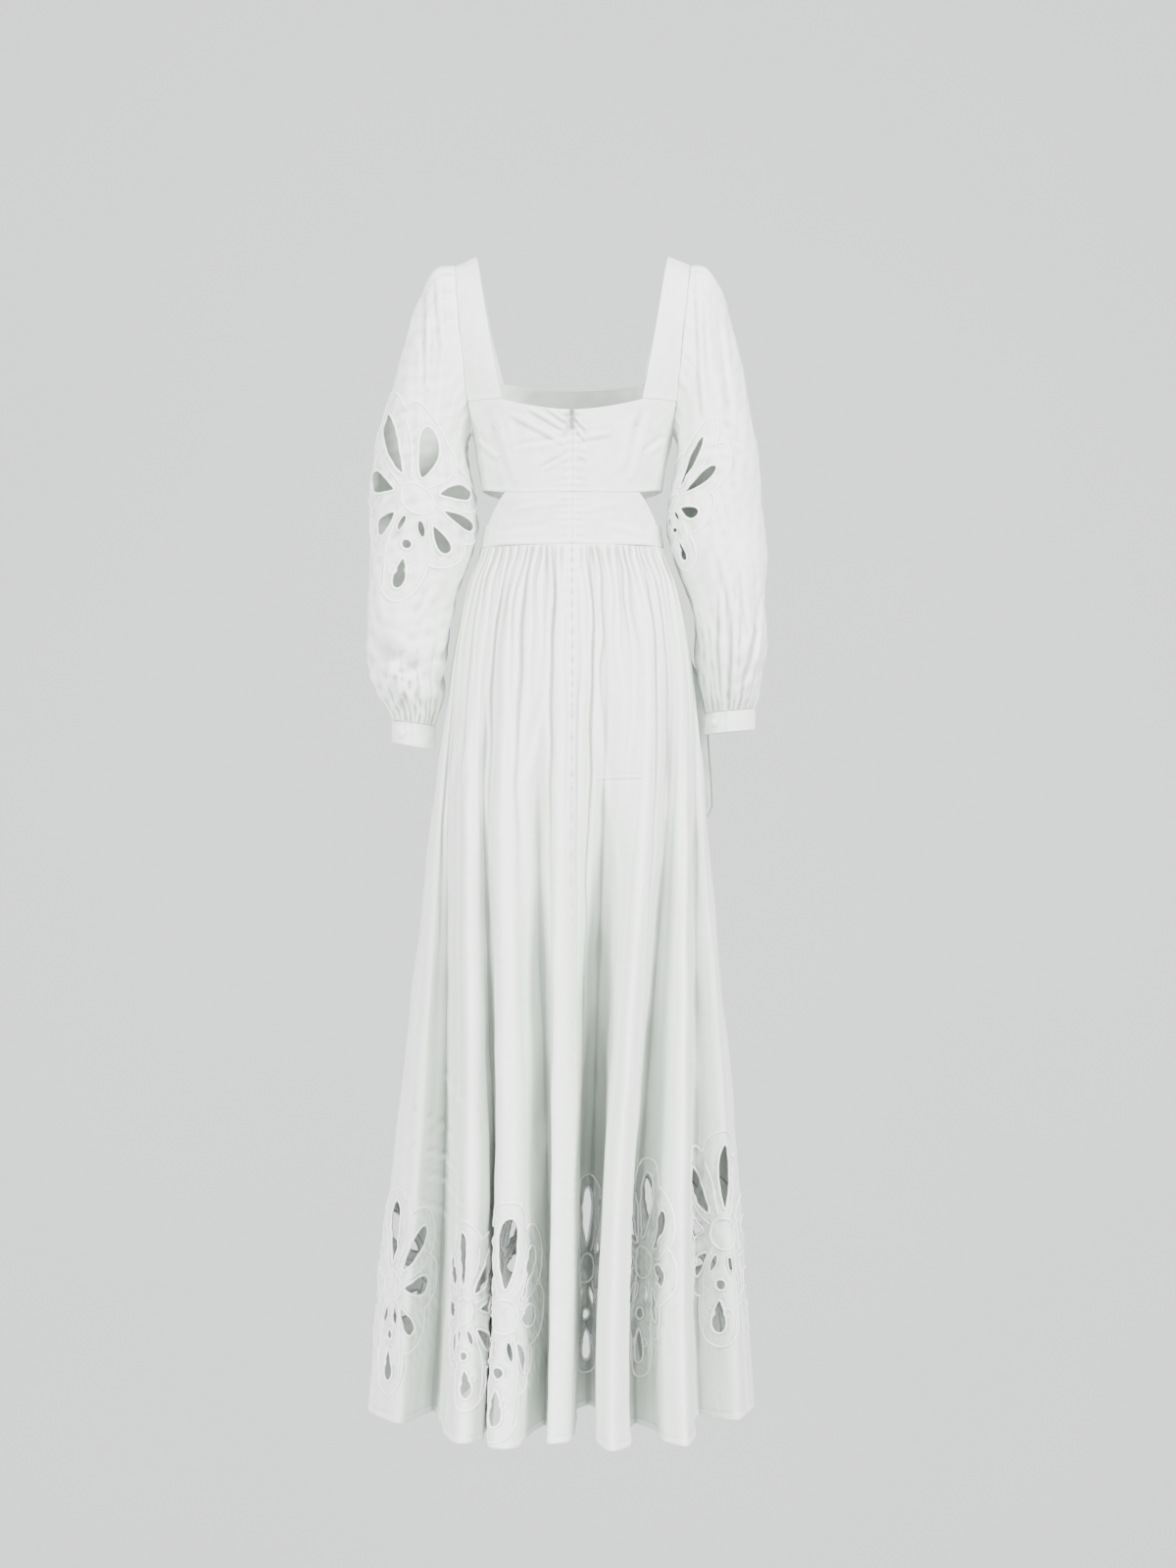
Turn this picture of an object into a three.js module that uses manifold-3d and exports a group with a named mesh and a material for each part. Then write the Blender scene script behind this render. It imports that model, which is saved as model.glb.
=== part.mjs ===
// Ankle-length white cotton dress with balloon sleeves and cutwork flowers, in its hollow worn form.
// Millimetres, +Z up. The back faces +Y, the wearer's left is +X and the strap tops are at z = 0.
import * as THREE from 'three';
import * as BufferGeometryUtils from 'three/addons/utils/BufferGeometryUtils.js';
import Module from 'manifold-3d';

const wasm = await Module();
wasm.setup();

// Driving sizes
const WALL = 1.6;
const SEAM = 0.3;
const SIDE_BACK = 0.19;
const WAIST_GAP = 0.8;
const LEFT = 1;
const RIGHT = -1;
const BACK = 1;
const FRONT = -1;

const WAIST_Z = -372;
const HEM_Z = -1477;
const BAND_BOTTOM_SIDE_Z = -300;
const BAND_BOTTOM_MIDDLE_Z = -307;
const BAND_RISE = { from: 0.3, to: 0.9 };
const NECK_CURVE = 1.8;
const BACK_NECK = { corner: 88, cornerZ: -191, middleZ: -205 };
const FRONT_NECK = { corner: 90, cornerZ: -150, middleZ: -158 };
const STRAP_RIDGE = { x: 122, y: 0, z: 0 };
const ARMHOLE = { topX: 149, topZ: -11.5, bottomX: 128, bottomZ: -225, depth: 62 };
const CUT_OUT = { topX: 84, lowerX: 106, lowerZ: -344 };
const CUP = { x: 58, z: -206, spreadX: 40, spreadZ: 46, height: 16 };
const SLIT = { topZ: -980, hemHalfWidth: 62 };

// Rows of the body sections: half width, depth to back and front, and how square the section is
const BODY = [
  { z: -372, side: 116, back: 80, front: 85, square: 2.3 },
  { z: -340, side: 112, back: 75, front: 82, square: 2.3 },
  { z: -306, side: 113, back: 76, front: 84, square: 2.3 },
  { z: -250, side: 122.5, back: 83, front: 94, square: 2.35 },
  { z: -225, side: 128, back: 86, front: 99, square: 2.4 },
  { z: -191, side: 141, back: 88, front: 101, square: 2.8 },
  { z: -150, side: 143, back: 88, front: 97, square: 2.8 },
  { z: -120, side: 145, back: 86, front: 92, square: 2.8 },
];

// Rows of the skirt without its folds: half width, depth to back and front, and how far it leans to the left
const SKIRT = [
  { z: -1477, side: 244, back: 196, front: 196, lean: 16 },
  { z: -1374, side: 237, back: 192, front: 190, lean: 14 },
  { z: -1277, side: 230, back: 187, front: 184, lean: 12 },
  { z: -1158, side: 219.5, back: 180, front: 177, lean: 10 },
  { z: -1068, side: 211, back: 174, front: 171, lean: 8 },
  { z: -972, side: 201, back: 167, front: 165, lean: 7 },
  { z: -877, side: 190.6, back: 159, front: 158, lean: 6 },
  { z: -804, side: 183, back: 152, front: 151, lean: 5 },
  { z: -709, side: 174, back: 143, front: 143, lean: 4 },
  { z: -587, side: 161, back: 129, front: 130, lean: 1 },
  { z: -517, side: 152.5, back: 119, front: 121, lean: 0 },
  { z: -447, side: 139, back: 105, front: 108, lean: 0 },
  { z: -412, side: 130, back: 95, front: 99, lean: 0 },
  { z: -385, side: 119, back: 84, front: 89, lean: 0 },
  { z: -372, side: 116, back: 80, front: 85, lean: 0 },
];
const SKIRT_SQUARE = 2.2;

// Ridges and valleys of each skirt panel along its hem, seen from above, counter-clockwise from the left side
const HEM_BACK_LEFT = [
  { x: 263, y: -45 }, { x: 240, y: 18 }, { x: 217, y: 48 }, { x: 196, y: 10 }, { x: 180, y: -22 },
  { x: 166, y: 40 }, { x: 154, y: 116 }, { x: 134, y: 164 }, { x: 114, y: 152 }, { x: 110, y: 104 },
  { x: 105, y: 76 }, { x: 100, y: 106 }, { x: 102, y: 162 }, { x: 94, y: 190 }, { x: 80, y: 194 },
  { x: 56, y: 128 }, { x: 34, y: 62 }, { x: 27, y: 112 }, { x: 25, y: 166 }, { x: 4, y: 156 },
  { x: -1, y: 128 },
];
const HEM_BACK_RIGHT = [
  { x: -1, y: 128 }, { x: -4, y: 30 }, { x: -8, y: -44 }, { x: -20, y: -60 }, { x: -31, y: -40 },
  { x: -33, y: 60 }, { x: -36, y: 172 }, { x: -50, y: 204 }, { x: -65, y: 186 }, { x: -69, y: 96 },
  { x: -80, y: 52 }, { x: -100, y: 84 }, { x: -120, y: 160 }, { x: -138, y: 178 }, { x: -150, y: 140 },
  { x: -153, y: 50 }, { x: -164, y: -4 }, { x: -186, y: 20 }, { x: -206, y: 30 }, { x: -222, y: -15 },
];
const HEM_FRONT_RIGHT = [
  { x: -222, y: -15 }, { x: -228, y: -64 }, { x: -200, y: -62 }, { x: -176, y: -120 }, { x: -146, y: -166 },
  { x: -118, y: -116 }, { x: -92, y: -168 }, { x: -66, y: -204 }, { x: -38, y: -168 }, { x: 5, y: -196 },
];
const HEM_FRONT_LEFT = [
  { x: 5, y: -196 }, { x: 32, y: -170 }, { x: 60, y: -210 }, { x: 88, y: -146 }, { x: 118, y: -192 },
  { x: 146, y: -124 }, { x: 178, y: -156 }, { x: 206, y: -82 }, { x: 242, y: -98 }, { x: 263, y: -45 },
];

// Small gathers sewn into a seam: how deep they are, and how fast they rise and fade away from it
const WAIST_GATHERS = { count: 11, depth: 3.2, rise: 7, fade: 55, flatByZip: 26 };
const HEAD_GATHERS = { count: 8, depth: 2.6, rise: 0.02, fade: 0.07 };
const CUFF_GATHERS = { count: 9, depth: 2.8, rise: 0.015, fade: 0.08 };

// Rows down a sleeve: its outer and inner edge seen from behind, and its depth and place front to back
const SLEEVE_LEFT = [
  { outX: 149, outZ: -11.5, inX: 128, inZ: -225, depth: 62, y: 0 },
  { outX: 172, outZ: -15, inX: 133, inZ: -236, depth: 65, y: 0 },
  { outX: 192, outZ: -49, inX: 134, inZ: -246, depth: 67, y: 0 },
  { outX: 208, outZ: -92, inX: 133, inZ: -258, depth: 69, y: 1 },
  { outX: 220, outZ: -140, inX: 131, inZ: -274, depth: 70, y: 2 },
  { outX: 233, outZ: -192, inX: 127, inZ: -294, depth: 71, y: 3 },
  { outX: 248, outZ: -252, inX: 123, inZ: -320, depth: 72, y: 3 },
  { outX: 257, outZ: -310, inX: 121, inZ: -352, depth: 72, y: 3 },
  { outX: 260, outZ: -372, inX: 130, inZ: -392, depth: 71, y: 2 },
  { outX: 260, outZ: -430, inX: 148, inZ: -434, depth: 69, y: 1 },
  { outX: 259, outZ: -482, inX: 158, inZ: -480, depth: 66, y: 0 },
  { outX: 256, outZ: -526, inX: 165, inZ: -524, depth: 60, y: -2 },
  { outX: 246, outZ: -560, inX: 166, inZ: -562, depth: 48, y: -5 },
  { outX: 232, outZ: -580, inX: 172, inZ: -584, depth: 34, y: -7 },
  { outX: 229, outZ: -591, inX: 176, inZ: -598, depth: 27, y: -8 },
];
const SLEEVE_RIGHT = [
  { outX: 149, outZ: -11.5, inX: 128, inZ: -225, depth: 62, y: 0 },
  { outX: 168, outZ: -13, inX: 133, inZ: -236, depth: 65, y: 0 },
  { outX: 188, outZ: -40, inX: 134, inZ: -246, depth: 67, y: 0 },
  { outX: 203, outZ: -86, inX: 133, inZ: -258, depth: 69, y: 1 },
  { outX: 215, outZ: -136, inX: 131, inZ: -274, depth: 70, y: 2 },
  { outX: 226, outZ: -188, inX: 127, inZ: -294, depth: 71, y: 3 },
  { outX: 235, outZ: -252, inX: 123, inZ: -320, depth: 72, y: 3 },
  { outX: 241, outZ: -310, inX: 122, inZ: -352, depth: 72, y: 3 },
  { outX: 246, outZ: -372, inX: 134, inZ: -392, depth: 71, y: 2 },
  { outX: 248, outZ: -424, inX: 148, inZ: -430, depth: 69, y: 1 },
  { outX: 248, outZ: -474, inX: 157, inZ: -474, depth: 66, y: 0 },
  { outX: 246, outZ: -516, inX: 161, inZ: -516, depth: 58, y: -2 },
  { outX: 241, outZ: -546, inX: 164, inZ: -550, depth: 46, y: -5 },
  { outX: 236, outZ: -566, inX: 168, inZ: -570, depth: 36, y: -7 },
  { outX: 232, outZ: -576, inX: 170, inZ: -582, depth: 30, y: -8 },
];
const SLEEVE_SQUARE = 2.15;

// The sleeve head stands this far off the armhole edge, and gathers move the cloth sideways by this share
const HEAD_CLEAR = { outer: 0.9, inner: 2.3, along: 0.03 };
const SIDEWAYS = 0.7;

// Cuffs: top and bottom line seen from behind, depth, and where the fastening edge and button stand
const CUFFS = {
  left: {
    outX: 229, inX: 176, topOut: -591.5, topIn: -598.5, lowOut: -619, lowIn: -629,
    depth: 27, y: -8, edge: 88, button: 62,
  },
  right: {
    outX: -232, inX: -170, topOut: -576.5, topIn: -582.5, lowOut: -603, lowIn: -609,
    depth: 30, y: -8, edge: 80, button: 51,
  },
};
const BUTTON_ROWS = [
  { radius: 5.2, height: 0 },
  { radius: 5.5, height: 1 },
  { radius: 4.7, height: 2.6 },
  { radius: 2.6, height: 3.6 },
];
const BUTTON_TOP = 4;

// Zip: a tape behind the back seam, a slider at the neck edge and the pull tab that swings on it
const ZIP = { halfWidth: 11, topZ: -209, bottomZ: -520, behind: 1.95, freeBelowWaist: 6, tape: 1 };
const SLIDER = { z: -209, halfWidth: 3, halfHeight: 4.6, thick: 1.85 };
const BRIDGE = { halfWidth: 0.8, out: 3.6, half: 3.6, holeOut: 2.4, holeHalf: 2.2 };
const TAB = { axisOut: 1.2, halfWidth: 2.6, top: 0.9, bottom: -22, thick: 1 };
const TAB_WINDOW = { half: 1.5, top: -0.6, bottom: -5.8 };

// Rows down the sash end at the right front: its outer and inner edge and how far it bows out between them
const SASH = [
  { z: -729, outX: -186, outY: -108, inX: -112, inY: -140, bow: 5 },
  { z: -640, outX: -182, outY: -104, inX: -98, inY: -134, bow: 6 },
  { z: -540, outX: -168, outY: -100, inX: -84, inY: -123, bow: 7 },
  { z: -450, outX: -124, outY: -92, inX: -70, inY: -109, bow: 6 },
  { z: -400, outX: -104, outY: -73, inX: -64, inY: -94, bow: 5 },
  { z: -366, outX: -99, outY: -54.8, inX: -63, inY: -77.6, bow: 3.2 },
];
const SASH_SEWN = { from: -388, full: -373 };
const SASH_OFF = 0.35;
const SASH_END_ROUNDING = 40;
const SASH_WAVE = 4;

// Largest soft folds of the sleeves: where they lie along and round the tube, and how deep they go
const SLEEVE_FOLDS = [
  { hand: LEFT, along: 0.2, round: 0.42, long: 0.16, wide: 0.05, depth: -5 },
  { hand: LEFT, along: 0.84, round: 0.3, long: 0.025, wide: 0.3, depth: -8 },
  { hand: RIGHT, along: 0.8, round: 0.28, long: 0.03, wide: 0.22, depth: -5 },
  { hand: RIGHT, along: 0.22, round: 0.35, long: 0.16, wide: 0.05, depth: -4 },
];

// The cutwork flower about its disc: each opening's direction from straight up, reach, width and shape
const FLOWER_OPENINGS = [
  { turn: 0, from: 32, to: 120, width: 40, shape: 'petal' },
  { turn: 47, from: 34, to: 116, width: 43, shape: 'petal' },
  { turn: 92, from: 32, to: 94, width: 38, shape: 'petal' },
  { turn: -47, from: 34, to: 112, width: 43, shape: 'petal' },
  { turn: -92, from: 32, to: 92, width: 38, shape: 'petal' },
  { turn: 141, from: 38, to: 86, width: 30, shape: 'petal' },
  { turn: -141, from: 38, to: 84, width: 30, shape: 'petal' },
  { turn: 180, from: 88, to: 134, width: 30, shape: 'petal' },
  { turn: 180, from: 60, to: 76, width: 15, shape: 'round' },
  { turn: 163, from: 30, to: 56, width: 9, shape: 'slit' },
  { turn: -163, from: 30, to: 56, width: 9, shape: 'slit' },
  { turn: 70, from: 100, to: 107, width: 7, shape: 'eyelet' },
  { turn: -118, from: 78, to: 85, width: 7, shape: 'eyelet' },
];

const FLOWER_ROW = 170;

// Flowers on the skirt: place across the panel, height of the disc over the hem, size, tilt and fewest openings
const SKIRT_FLOWERS = {
  skirt_back_left: [
    { across: 0.07, up: 168, size: 0.9, tilt: 4 },
    { across: 0.405, up: 160, size: 0.8, tilt: 6 },
    { across: 0.662, up: 158, size: 1, tilt: -4 },
  ],
  skirt_back_right: [
    { across: 0.175, up: 180, size: 0.9, tilt: 2 },
    { across: 0.607, up: 205, size: 0.95, tilt: -3 },
    { across: 0.95, up: 235, size: 0.95, tilt: -6 },
  ],
  skirt_front_right: [
    { across: 0.24, up: 175, size: 0.95, tilt: 3 },
    { across: 0.66, up: 170, size: 0.95, tilt: -4 },
  ],
  skirt_front_left: [
    { across: 0.34, up: 170, size: 0.95, tilt: 4 },
    { across: 0.78, up: 175, size: 0.95, tilt: -3 },
  ],
};

// Flowers on the sleeves: place round the back half from its outer edge, height of the disc, size and tilt
const SLEEVE_FLOWERS = {
  sleeve_left_back: [{ across: 0.475, up: 0.545, size: 0.92, tilt: -6 }],
  sleeve_right_back: [{ across: 0.12, up: 0.6, size: 0.86, tilt: 8 }],
};

// Materials
const cotton = () => new THREE.MeshStandardMaterial({ color: 0xe6e9e5, roughness: 0.85, metalness: 0 });
const metal = () => new THREE.MeshStandardMaterial({ color: 0x8d8f90, roughness: 0.35, metalness: 0.9 });

// A smooth curve through the rows of a table, read at a value of its key column, which goes up
function read(rows, key, at, column) {
  const last = rows.length - 1;
  let row = 0;
  while (row < last - 1 && at > rows[row + 1][key]) row += 1;
  const slope = (i) => (rows[i + 1][column] - rows[i][column]) / (rows[i + 1][key] - rows[i][key]);
  const tangent = (i) => {
    if (i === 0) return slope(0);
    if (i === last) return slope(last - 1);
    const before = rows[i][key] - rows[i - 1][key];
    const after = rows[i + 1][key] - rows[i][key];
    return (slope(i - 1) * after + slope(i) * before) / (before + after);
  };
  const span = rows[row + 1][key] - rows[row][key];
  const t = THREE.MathUtils.clamp((at - rows[row][key]) / span, 0, 1);
  const a = rows[row][column];
  const b = rows[row + 1][column];
  const ease = t * t * (3 - 2 * t);
  const bend = t * (1 - t) * span * ((1 - t) * tangent(row) - t * tangent(row + 1));
  return a + (b - a) * ease + bend;
}

// Adds to each row its share of the way along the rows
function spaced(rows, columns) {
  let way = 0;
  const marked = rows.map((row, i) => {
    if (i > 0) way += Math.hypot(...columns.map((name) => row[name] - rows[i - 1][name]));
    return { ...row, way };
  });
  return marked.map((row) => ({ ...row, way: row.way / way }));
}

// A section with rounded corners: a share of the quarter from its middle to its side becomes a turn
function quarterTurn(share, square) {
  const m = square / 2;
  return (Math.PI / 2) * share ** m / (share ** m + (1 - share) ** m);
}

function shareAtWidth(width, square) {
  const m = square / 2;
  const part = Math.asin(Math.min(1, width ** m)) / (Math.PI / 2);
  if (part >= 1) return 1;
  return 1 / (1 + ((1 - part) / part) ** (1 / m));
}

function bodyPoint(share, z, face, hand) {
  const square = read(BODY, 'z', z, 'square');
  const turn = quarterTurn(share, square);
  const x = read(BODY, 'z', z, 'side') * Math.sin(turn) ** (2 / square);
  const depth = read(BODY, 'z', z, face === BACK ? 'back' : 'front');
  const y = depth * Math.max(0, Math.cos(turn)) ** (2 / square);
  const cup = Math.exp(-(((x - CUP.x) / CUP.spreadX) ** 2) - ((z - CUP.z) / CUP.spreadZ) ** 2);
  return new THREE.Vector3(hand * x, face * (y + (face === FRONT ? CUP.height * cup : 0)), z);
}

// The armhole is a loop in a nearly upright plane, and the turn goes from its top towards the back
function armholePoint(turn, hand) {
  const c = Math.cos(turn);
  const x = (ARMHOLE.topX + ARMHOLE.bottomX) / 2 + c * (ARMHOLE.topX - ARMHOLE.bottomX) / 2;
  const z = (ARMHOLE.topZ + ARMHOLE.bottomZ) / 2 + c * (ARMHOLE.topZ - ARMHOLE.bottomZ) / 2;
  return new THREE.Vector3(hand * x, ARMHOLE.depth * Math.sin(turn), z);
}

function armholeTurn(z, face) {
  const middle = (ARMHOLE.topZ + ARMHOLE.bottomZ) / 2;
  const half = (ARMHOLE.topZ - ARMHOLE.bottomZ) / 2;
  return face * Math.acos(THREE.MathUtils.clamp((z - middle) / half, -1, 1));
}

// A point of the bodice, whose side edge is the armhole above the underarm and the side seam below it
function bodicePoint(share, z, face, hand) {
  if (z <= ARMHOLE.bottomZ) return bodyPoint(share, z, face, hand);
  const edge = armholePoint(armholeTurn(z, face), hand);
  const width = Math.abs(edge.x) / read(BODY, 'z', z, 'side');
  const edgeShare = shareAtWidth(width, read(BODY, 'z', z, 'square'));
  const pull = edge.sub(bodyPoint(edgeShare, z, face, hand));
  return bodyPoint(share * edgeShare, z, face, hand).addScaledVector(pull, share ** 4);
}

// The neck edge rises in a curve from the middle to the inner edge of the strap
function neckHeight(share, neck, face) {
  const part = Math.min(1, share / strapFoot(face).share);
  return neck.middleZ + (neck.cornerZ - neck.middleZ) * part ** NECK_CURVE;
}

function bandBottom(share) {
  const rise = THREE.MathUtils.smoothstep(share, BAND_RISE.from, BAND_RISE.to);
  return THREE.MathUtils.lerp(BAND_BOTTOM_MIDDLE_Z, BAND_BOTTOM_SIDE_Z, rise);
}

// Panels are surfaces of (u, v) with u counter-clockwise seen from above and v upward, so that they face out
function bandSurface(face, hand, neck) {
  return (u, v) => {
    const share = hand * face > 0 ? 1 - u : u;
    const top = neckHeight(share, neck, face);
    const z = THREE.MathUtils.lerp(bandBottom(share) + SEAM / 2, top, v);
    return bodicePoint(share, z, face, hand);
  };
}

function frontBandSurface() {
  return (u, v) => {
    const signed = 2 * u - 1;
    const share = Math.abs(signed);
    const z = THREE.MathUtils.lerp(bandBottom(share) + SEAM / 2, neckHeight(share, FRONT_NECK, FRONT), v);
    return bodicePoint(share, z, FRONT, signed < 0 ? RIGHT : LEFT);
  };
}

const STRAP_BACK = [
  { x: 97, y: 84, z: -145 }, { x: 105, y: 76, z: -100 },
  { x: 113, y: 57, z: -50 }, { x: 119, y: 27, z: -14 },
];
const STRAP_FRONT = [
  { x: 119, y: -24, z: -12 }, { x: 114, y: -50, z: -38 },
  { x: 108, y: -72, z: -75 }, { x: 100, y: -84, z: -110 },
];

// How far round the body the strap's inner edge stands at the top of a band
function strapFoot(face) {
  const neck = face === BACK ? BACK_NECK : FRONT_NECK;
  const side = read(BODY, 'z', neck.cornerZ, 'side');
  const square = read(BODY, 'z', neck.cornerZ, 'square');
  const turn = armholeTurn(neck.cornerZ, face);
  const whole = shareAtWidth(armholePoint(turn, LEFT).x / side, square);
  const share = shareAtWidth(neck.corner / side, square) / whole;
  return { share, turn, z: neck.cornerZ, point: bodicePoint(share, neck.cornerZ, face, LEFT) };
}

const STRAP_EDGE = spaced(
  [strapFoot(BACK).point, ...STRAP_BACK, STRAP_RIDGE, ...STRAP_FRONT, strapFoot(FRONT).point],
  ['x', 'y', 'z'],
);
const RIDGE_WAY = STRAP_EDGE[STRAP_BACK.length + 1].way;

// The strap goes from the top of the band to the shoulder ridge, between the neck edge and the armhole
function strapSurface(face, hand) {
  const foot = strapFoot(face);
  const outerFoot = armholePoint(foot.turn, LEFT);
  return (u, v) => {
    const across = hand * face > 0 ? 1 - u : u;
    const way = face === BACK ? v * RIDGE_WAY : 1 - v * (1 - RIDGE_WAY);
    const edge = (name) => read(STRAP_EDGE, 'way', way, name);
    const from = new THREE.Vector3(edge('x'), edge('y'), edge('z'));
    const point = from.lerp(armholePoint(foot.turn * (1 - v), LEFT), across);
    const straight = foot.point.clone().lerp(outerFoot, across);
    const seat = bodicePoint(THREE.MathUtils.lerp(foot.share, 1, across), foot.z, face, LEFT);
    point.addScaledVector(seat.sub(straight), Math.max(0, 1 - v) ** 2);
    point.z += 2 * SEAM * Math.max(0, 1 - v) ** 4;
    point.x *= hand;
    return point;
  };
}

// The midriff ring rises from a narrow strip at the sides to the band at the middle
function midriffTop(share, face) {
  const at = (x, z) => shareAtWidth(x / read(BODY, 'z', z, 'side'), 2.3);
  const upper = at(CUT_OUT.topX, BAND_BOTTOM_MIDDLE_Z);
  const lower = at(CUT_OUT.lowerX, CUT_OUT.lowerZ);
  const down = THREE.MathUtils.clamp((share - upper) / (lower - upper), 0, 1);
  return THREE.MathUtils.lerp(bandBottom(share) - SEAM / 2, CUT_OUT.lowerZ, down);
}

function midriffSurface(face, hand) {
  return (u, v) => {
    const share = hand * face > 0 ? 1 - u : u;
    const z = THREE.MathUtils.lerp(WAIST_Z + WAIST_GAP / 2, midriffTop(share, face), v);
    return bodyPoint(share, z, face, hand);
  };
}

function frontMidriffSurface() {
  return (u, v) => {
    const signed = 2 * u - 1;
    const share = Math.abs(signed);
    const z = THREE.MathUtils.lerp(WAIST_Z + WAIST_GAP / 2, midriffTop(share, FRONT), v);
    return bodyPoint(share, z, FRONT, signed < 0 ? RIGHT : LEFT);
  };
}

// Height of the small gathers at a way from the seam they are sewn into
function gathered(gathers, way, round) {
  const swell = gathers.depth * (1 - Math.exp(-way / gathers.rise)) * Math.exp(-way / gathers.fade);
  return swell * Math.cos(2 * Math.PI * gathers.count * round);
}

// Quarters of the skirt: 0 left side, 1 back middle, 2 right side, 3 front middle
function skirtRing(quarter, z) {
  const turned = (quarter + 4) % 4;
  const leg = Math.floor(turned);
  const part = turned - leg;
  const share = leg % 2 === 0 ? 1 - part : part;
  const hand = leg === 0 || leg === 3 ? LEFT : RIGHT;
  const face = leg < 2 ? BACK : FRONT;
  const turn = quarterTurn(share, SKIRT_SQUARE);
  const x = hand * read(SKIRT, 'z', z, 'side') * Math.max(0, Math.sin(turn)) ** (2 / SKIRT_SQUARE);
  const depth = read(SKIRT, 'z', z, face === BACK ? 'back' : 'front');
  const y = face * depth * Math.max(0, Math.cos(turn)) ** (2 / SKIRT_SQUARE);
  return new THREE.Vector3(x + read(SKIRT, 'z', z, 'lean'), y, z);
}

// The whole hem as one closed line, with two rows more at each end so that it runs on smoothly
const HEM_PARTS = [HEM_BACK_LEFT, HEM_BACK_RIGHT, HEM_FRONT_RIGHT, HEM_FRONT_LEFT];
const HEM_LINE = spaced([...HEM_PARTS.flatMap((rows) => rows.slice(0, -1)), HEM_BACK_LEFT[0]], ['x', 'y']);
const HEM_RUN = [
  ...HEM_LINE.slice(-3, -1).map((row) => ({ ...row, way: row.way - 1 })),
  ...HEM_LINE,
  ...HEM_LINE.slice(1, 3).map((row) => ({ ...row, way: row.way + 1 })),
];
const HEM_STARTS = [0, 1, 2, 3, 4].map((part) => {
  const before = HEM_PARTS.slice(0, part).reduce((sum, rows) => sum + rows.length - 1, 0);
  return HEM_LINE[before].way;
});

// A skirt panel hangs from the gathered waist ring to its own stretch of the folded hem line
function skirtSurface(quarter, slit) {
  const waist = WAIST_Z - WAIST_GAP / 2;
  const begin = HEM_STARTS[quarter];
  const long = HEM_STARTS[quarter + 1] - begin;
  return (u, v) => {
    const z = THREE.MathUtils.lerp(HEM_Z, waist, v);
    const point = skirtRing(quarter + u, z);
    const growth = 0.5 + 0.5 * Math.cos(Math.PI * THREE.MathUtils.clamp(v, 0, 1));
    const ring = skirtRing(quarter + u, HEM_Z);
    point.x += growth * (read(HEM_RUN, 'way', begin + long * u, 'x') - ring.x);
    point.y += growth * (read(HEM_RUN, 'way', begin + long * u, 'y') - ring.y);
    const fromSeam = 0.5 - Math.abs(0.5 - u);
    const fromZip = 100 * Math.abs(quarter + u - 1);
    const { count, flatByZip } = WAIST_GATHERS;
    const flat = THREE.MathUtils.smoothstep(fromZip, flatByZip / 3, flatByZip)
      * THREE.MathUtils.smoothstep(fromSeam, 0, 0.04);
    const uneven = (0.2 * Math.sin(9 * u + quarter)) / count;
    const wave = flat * gathered(WAIST_GATHERS, waist - z, u + uneven);
    const outward = new THREE.Vector2(point.x, point.y).normalize();
    point.x += wave * outward.x;
    point.y += wave * outward.y;
    if (slit) {
      const open = Math.max(0, (SLIT.topZ - z) / (SLIT.topZ - HEM_Z)) ** 1.2;
      const near = THREE.MathUtils.clamp(quarter === 2 ? u : 1 - u, 0, 1);
      point.x += (quarter === 2 ? RIGHT : LEFT) * SLIT.hemHalfWidth * open * near ** 3;
    }
    return point;
  };
}

// A sleeve ring lies in a plane through its outer and inner edge, and each half has its own face
function sleeveSurface(rows, hand, face) {
  const line = spaced(rows, ['outX', 'outZ', 'inX', 'inZ']);
  const folds = SLEEVE_FOLDS.filter((fold) => fold.hand === hand && face === BACK);
  return (u, v) => {
    const s = 1 - v;
    // Share of the half ring from the outer edge to the inner one
    const round = hand * face > 0 ? u : 1 - u;
    const row = (name) => read(line, 'way', s, name);
    const turn = Math.PI * round;
    const c = Math.cos(turn);
    const n = Math.sin(turn);
    const across = Math.sign(c) * Math.abs(c) ** (2 / SLEEVE_SQUARE);
    const deep = Math.max(0, n) ** (2 / SLEEVE_SQUARE);
    let swell = gathered(HEAD_GATHERS, s, round) * n + gathered(CUFF_GATHERS, v, round) * n;
    for (const fold of folds) {
      const far = ((s - fold.along) / fold.long) ** 2 + ((round - fold.round) / fold.wide) ** 2;
      swell += fold.depth * Math.exp(-far);
    }
    const clear = THREE.MathUtils.lerp(HEAD_CLEAR.outer, HEAD_CLEAR.inner, (1 - c) / 2);
    const start = Math.max(0, 1 - s / HEAD_CLEAR.along);
    const halfX = (row('outX') - row('inX')) / 2;
    const halfZ = (row('outZ') - row('inZ')) / 2;
    const x = (row('outX') + row('inX')) / 2 + halfX * across + SIDEWAYS * swell * c + clear * start;
    const z = (row('outZ') + row('inZ')) / 2 + halfZ * across;
    const y = row('y') + face * (row('depth') * deep + swell * n);
    return new THREE.Vector3(hand * x, y, z);
  };
}

// One opening of a flower as a closed outline in flat cloth, x across and y up
function openingOutline(opening) {
  const { from, to, width, shape } = opening;
  const long = to - from;
  const middle = (from + to) / 2;
  const count = { petal: 8, round: 6, slit: 4, eyelet: 4 }[shape];
  const points = [];
  for (let i = 0; i < count; i += 1) {
    const turn = (2 * Math.PI * i) / count;
    const along = Math.cos(turn);
    const swell = shape === 'petal' ? 0.68 + 0.32 * along : 1;
    points.push({ x: (width / 2) * Math.sin(turn) * swell, y: middle + (long / 2) * along });
  }
  const angle = -THREE.MathUtils.degToRad(opening.turn);
  return points.map((p) => ({
    x: p.x * Math.cos(angle) - p.y * Math.sin(angle),
    y: p.x * Math.sin(angle) + p.y * Math.cos(angle),
  }));
}

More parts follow.
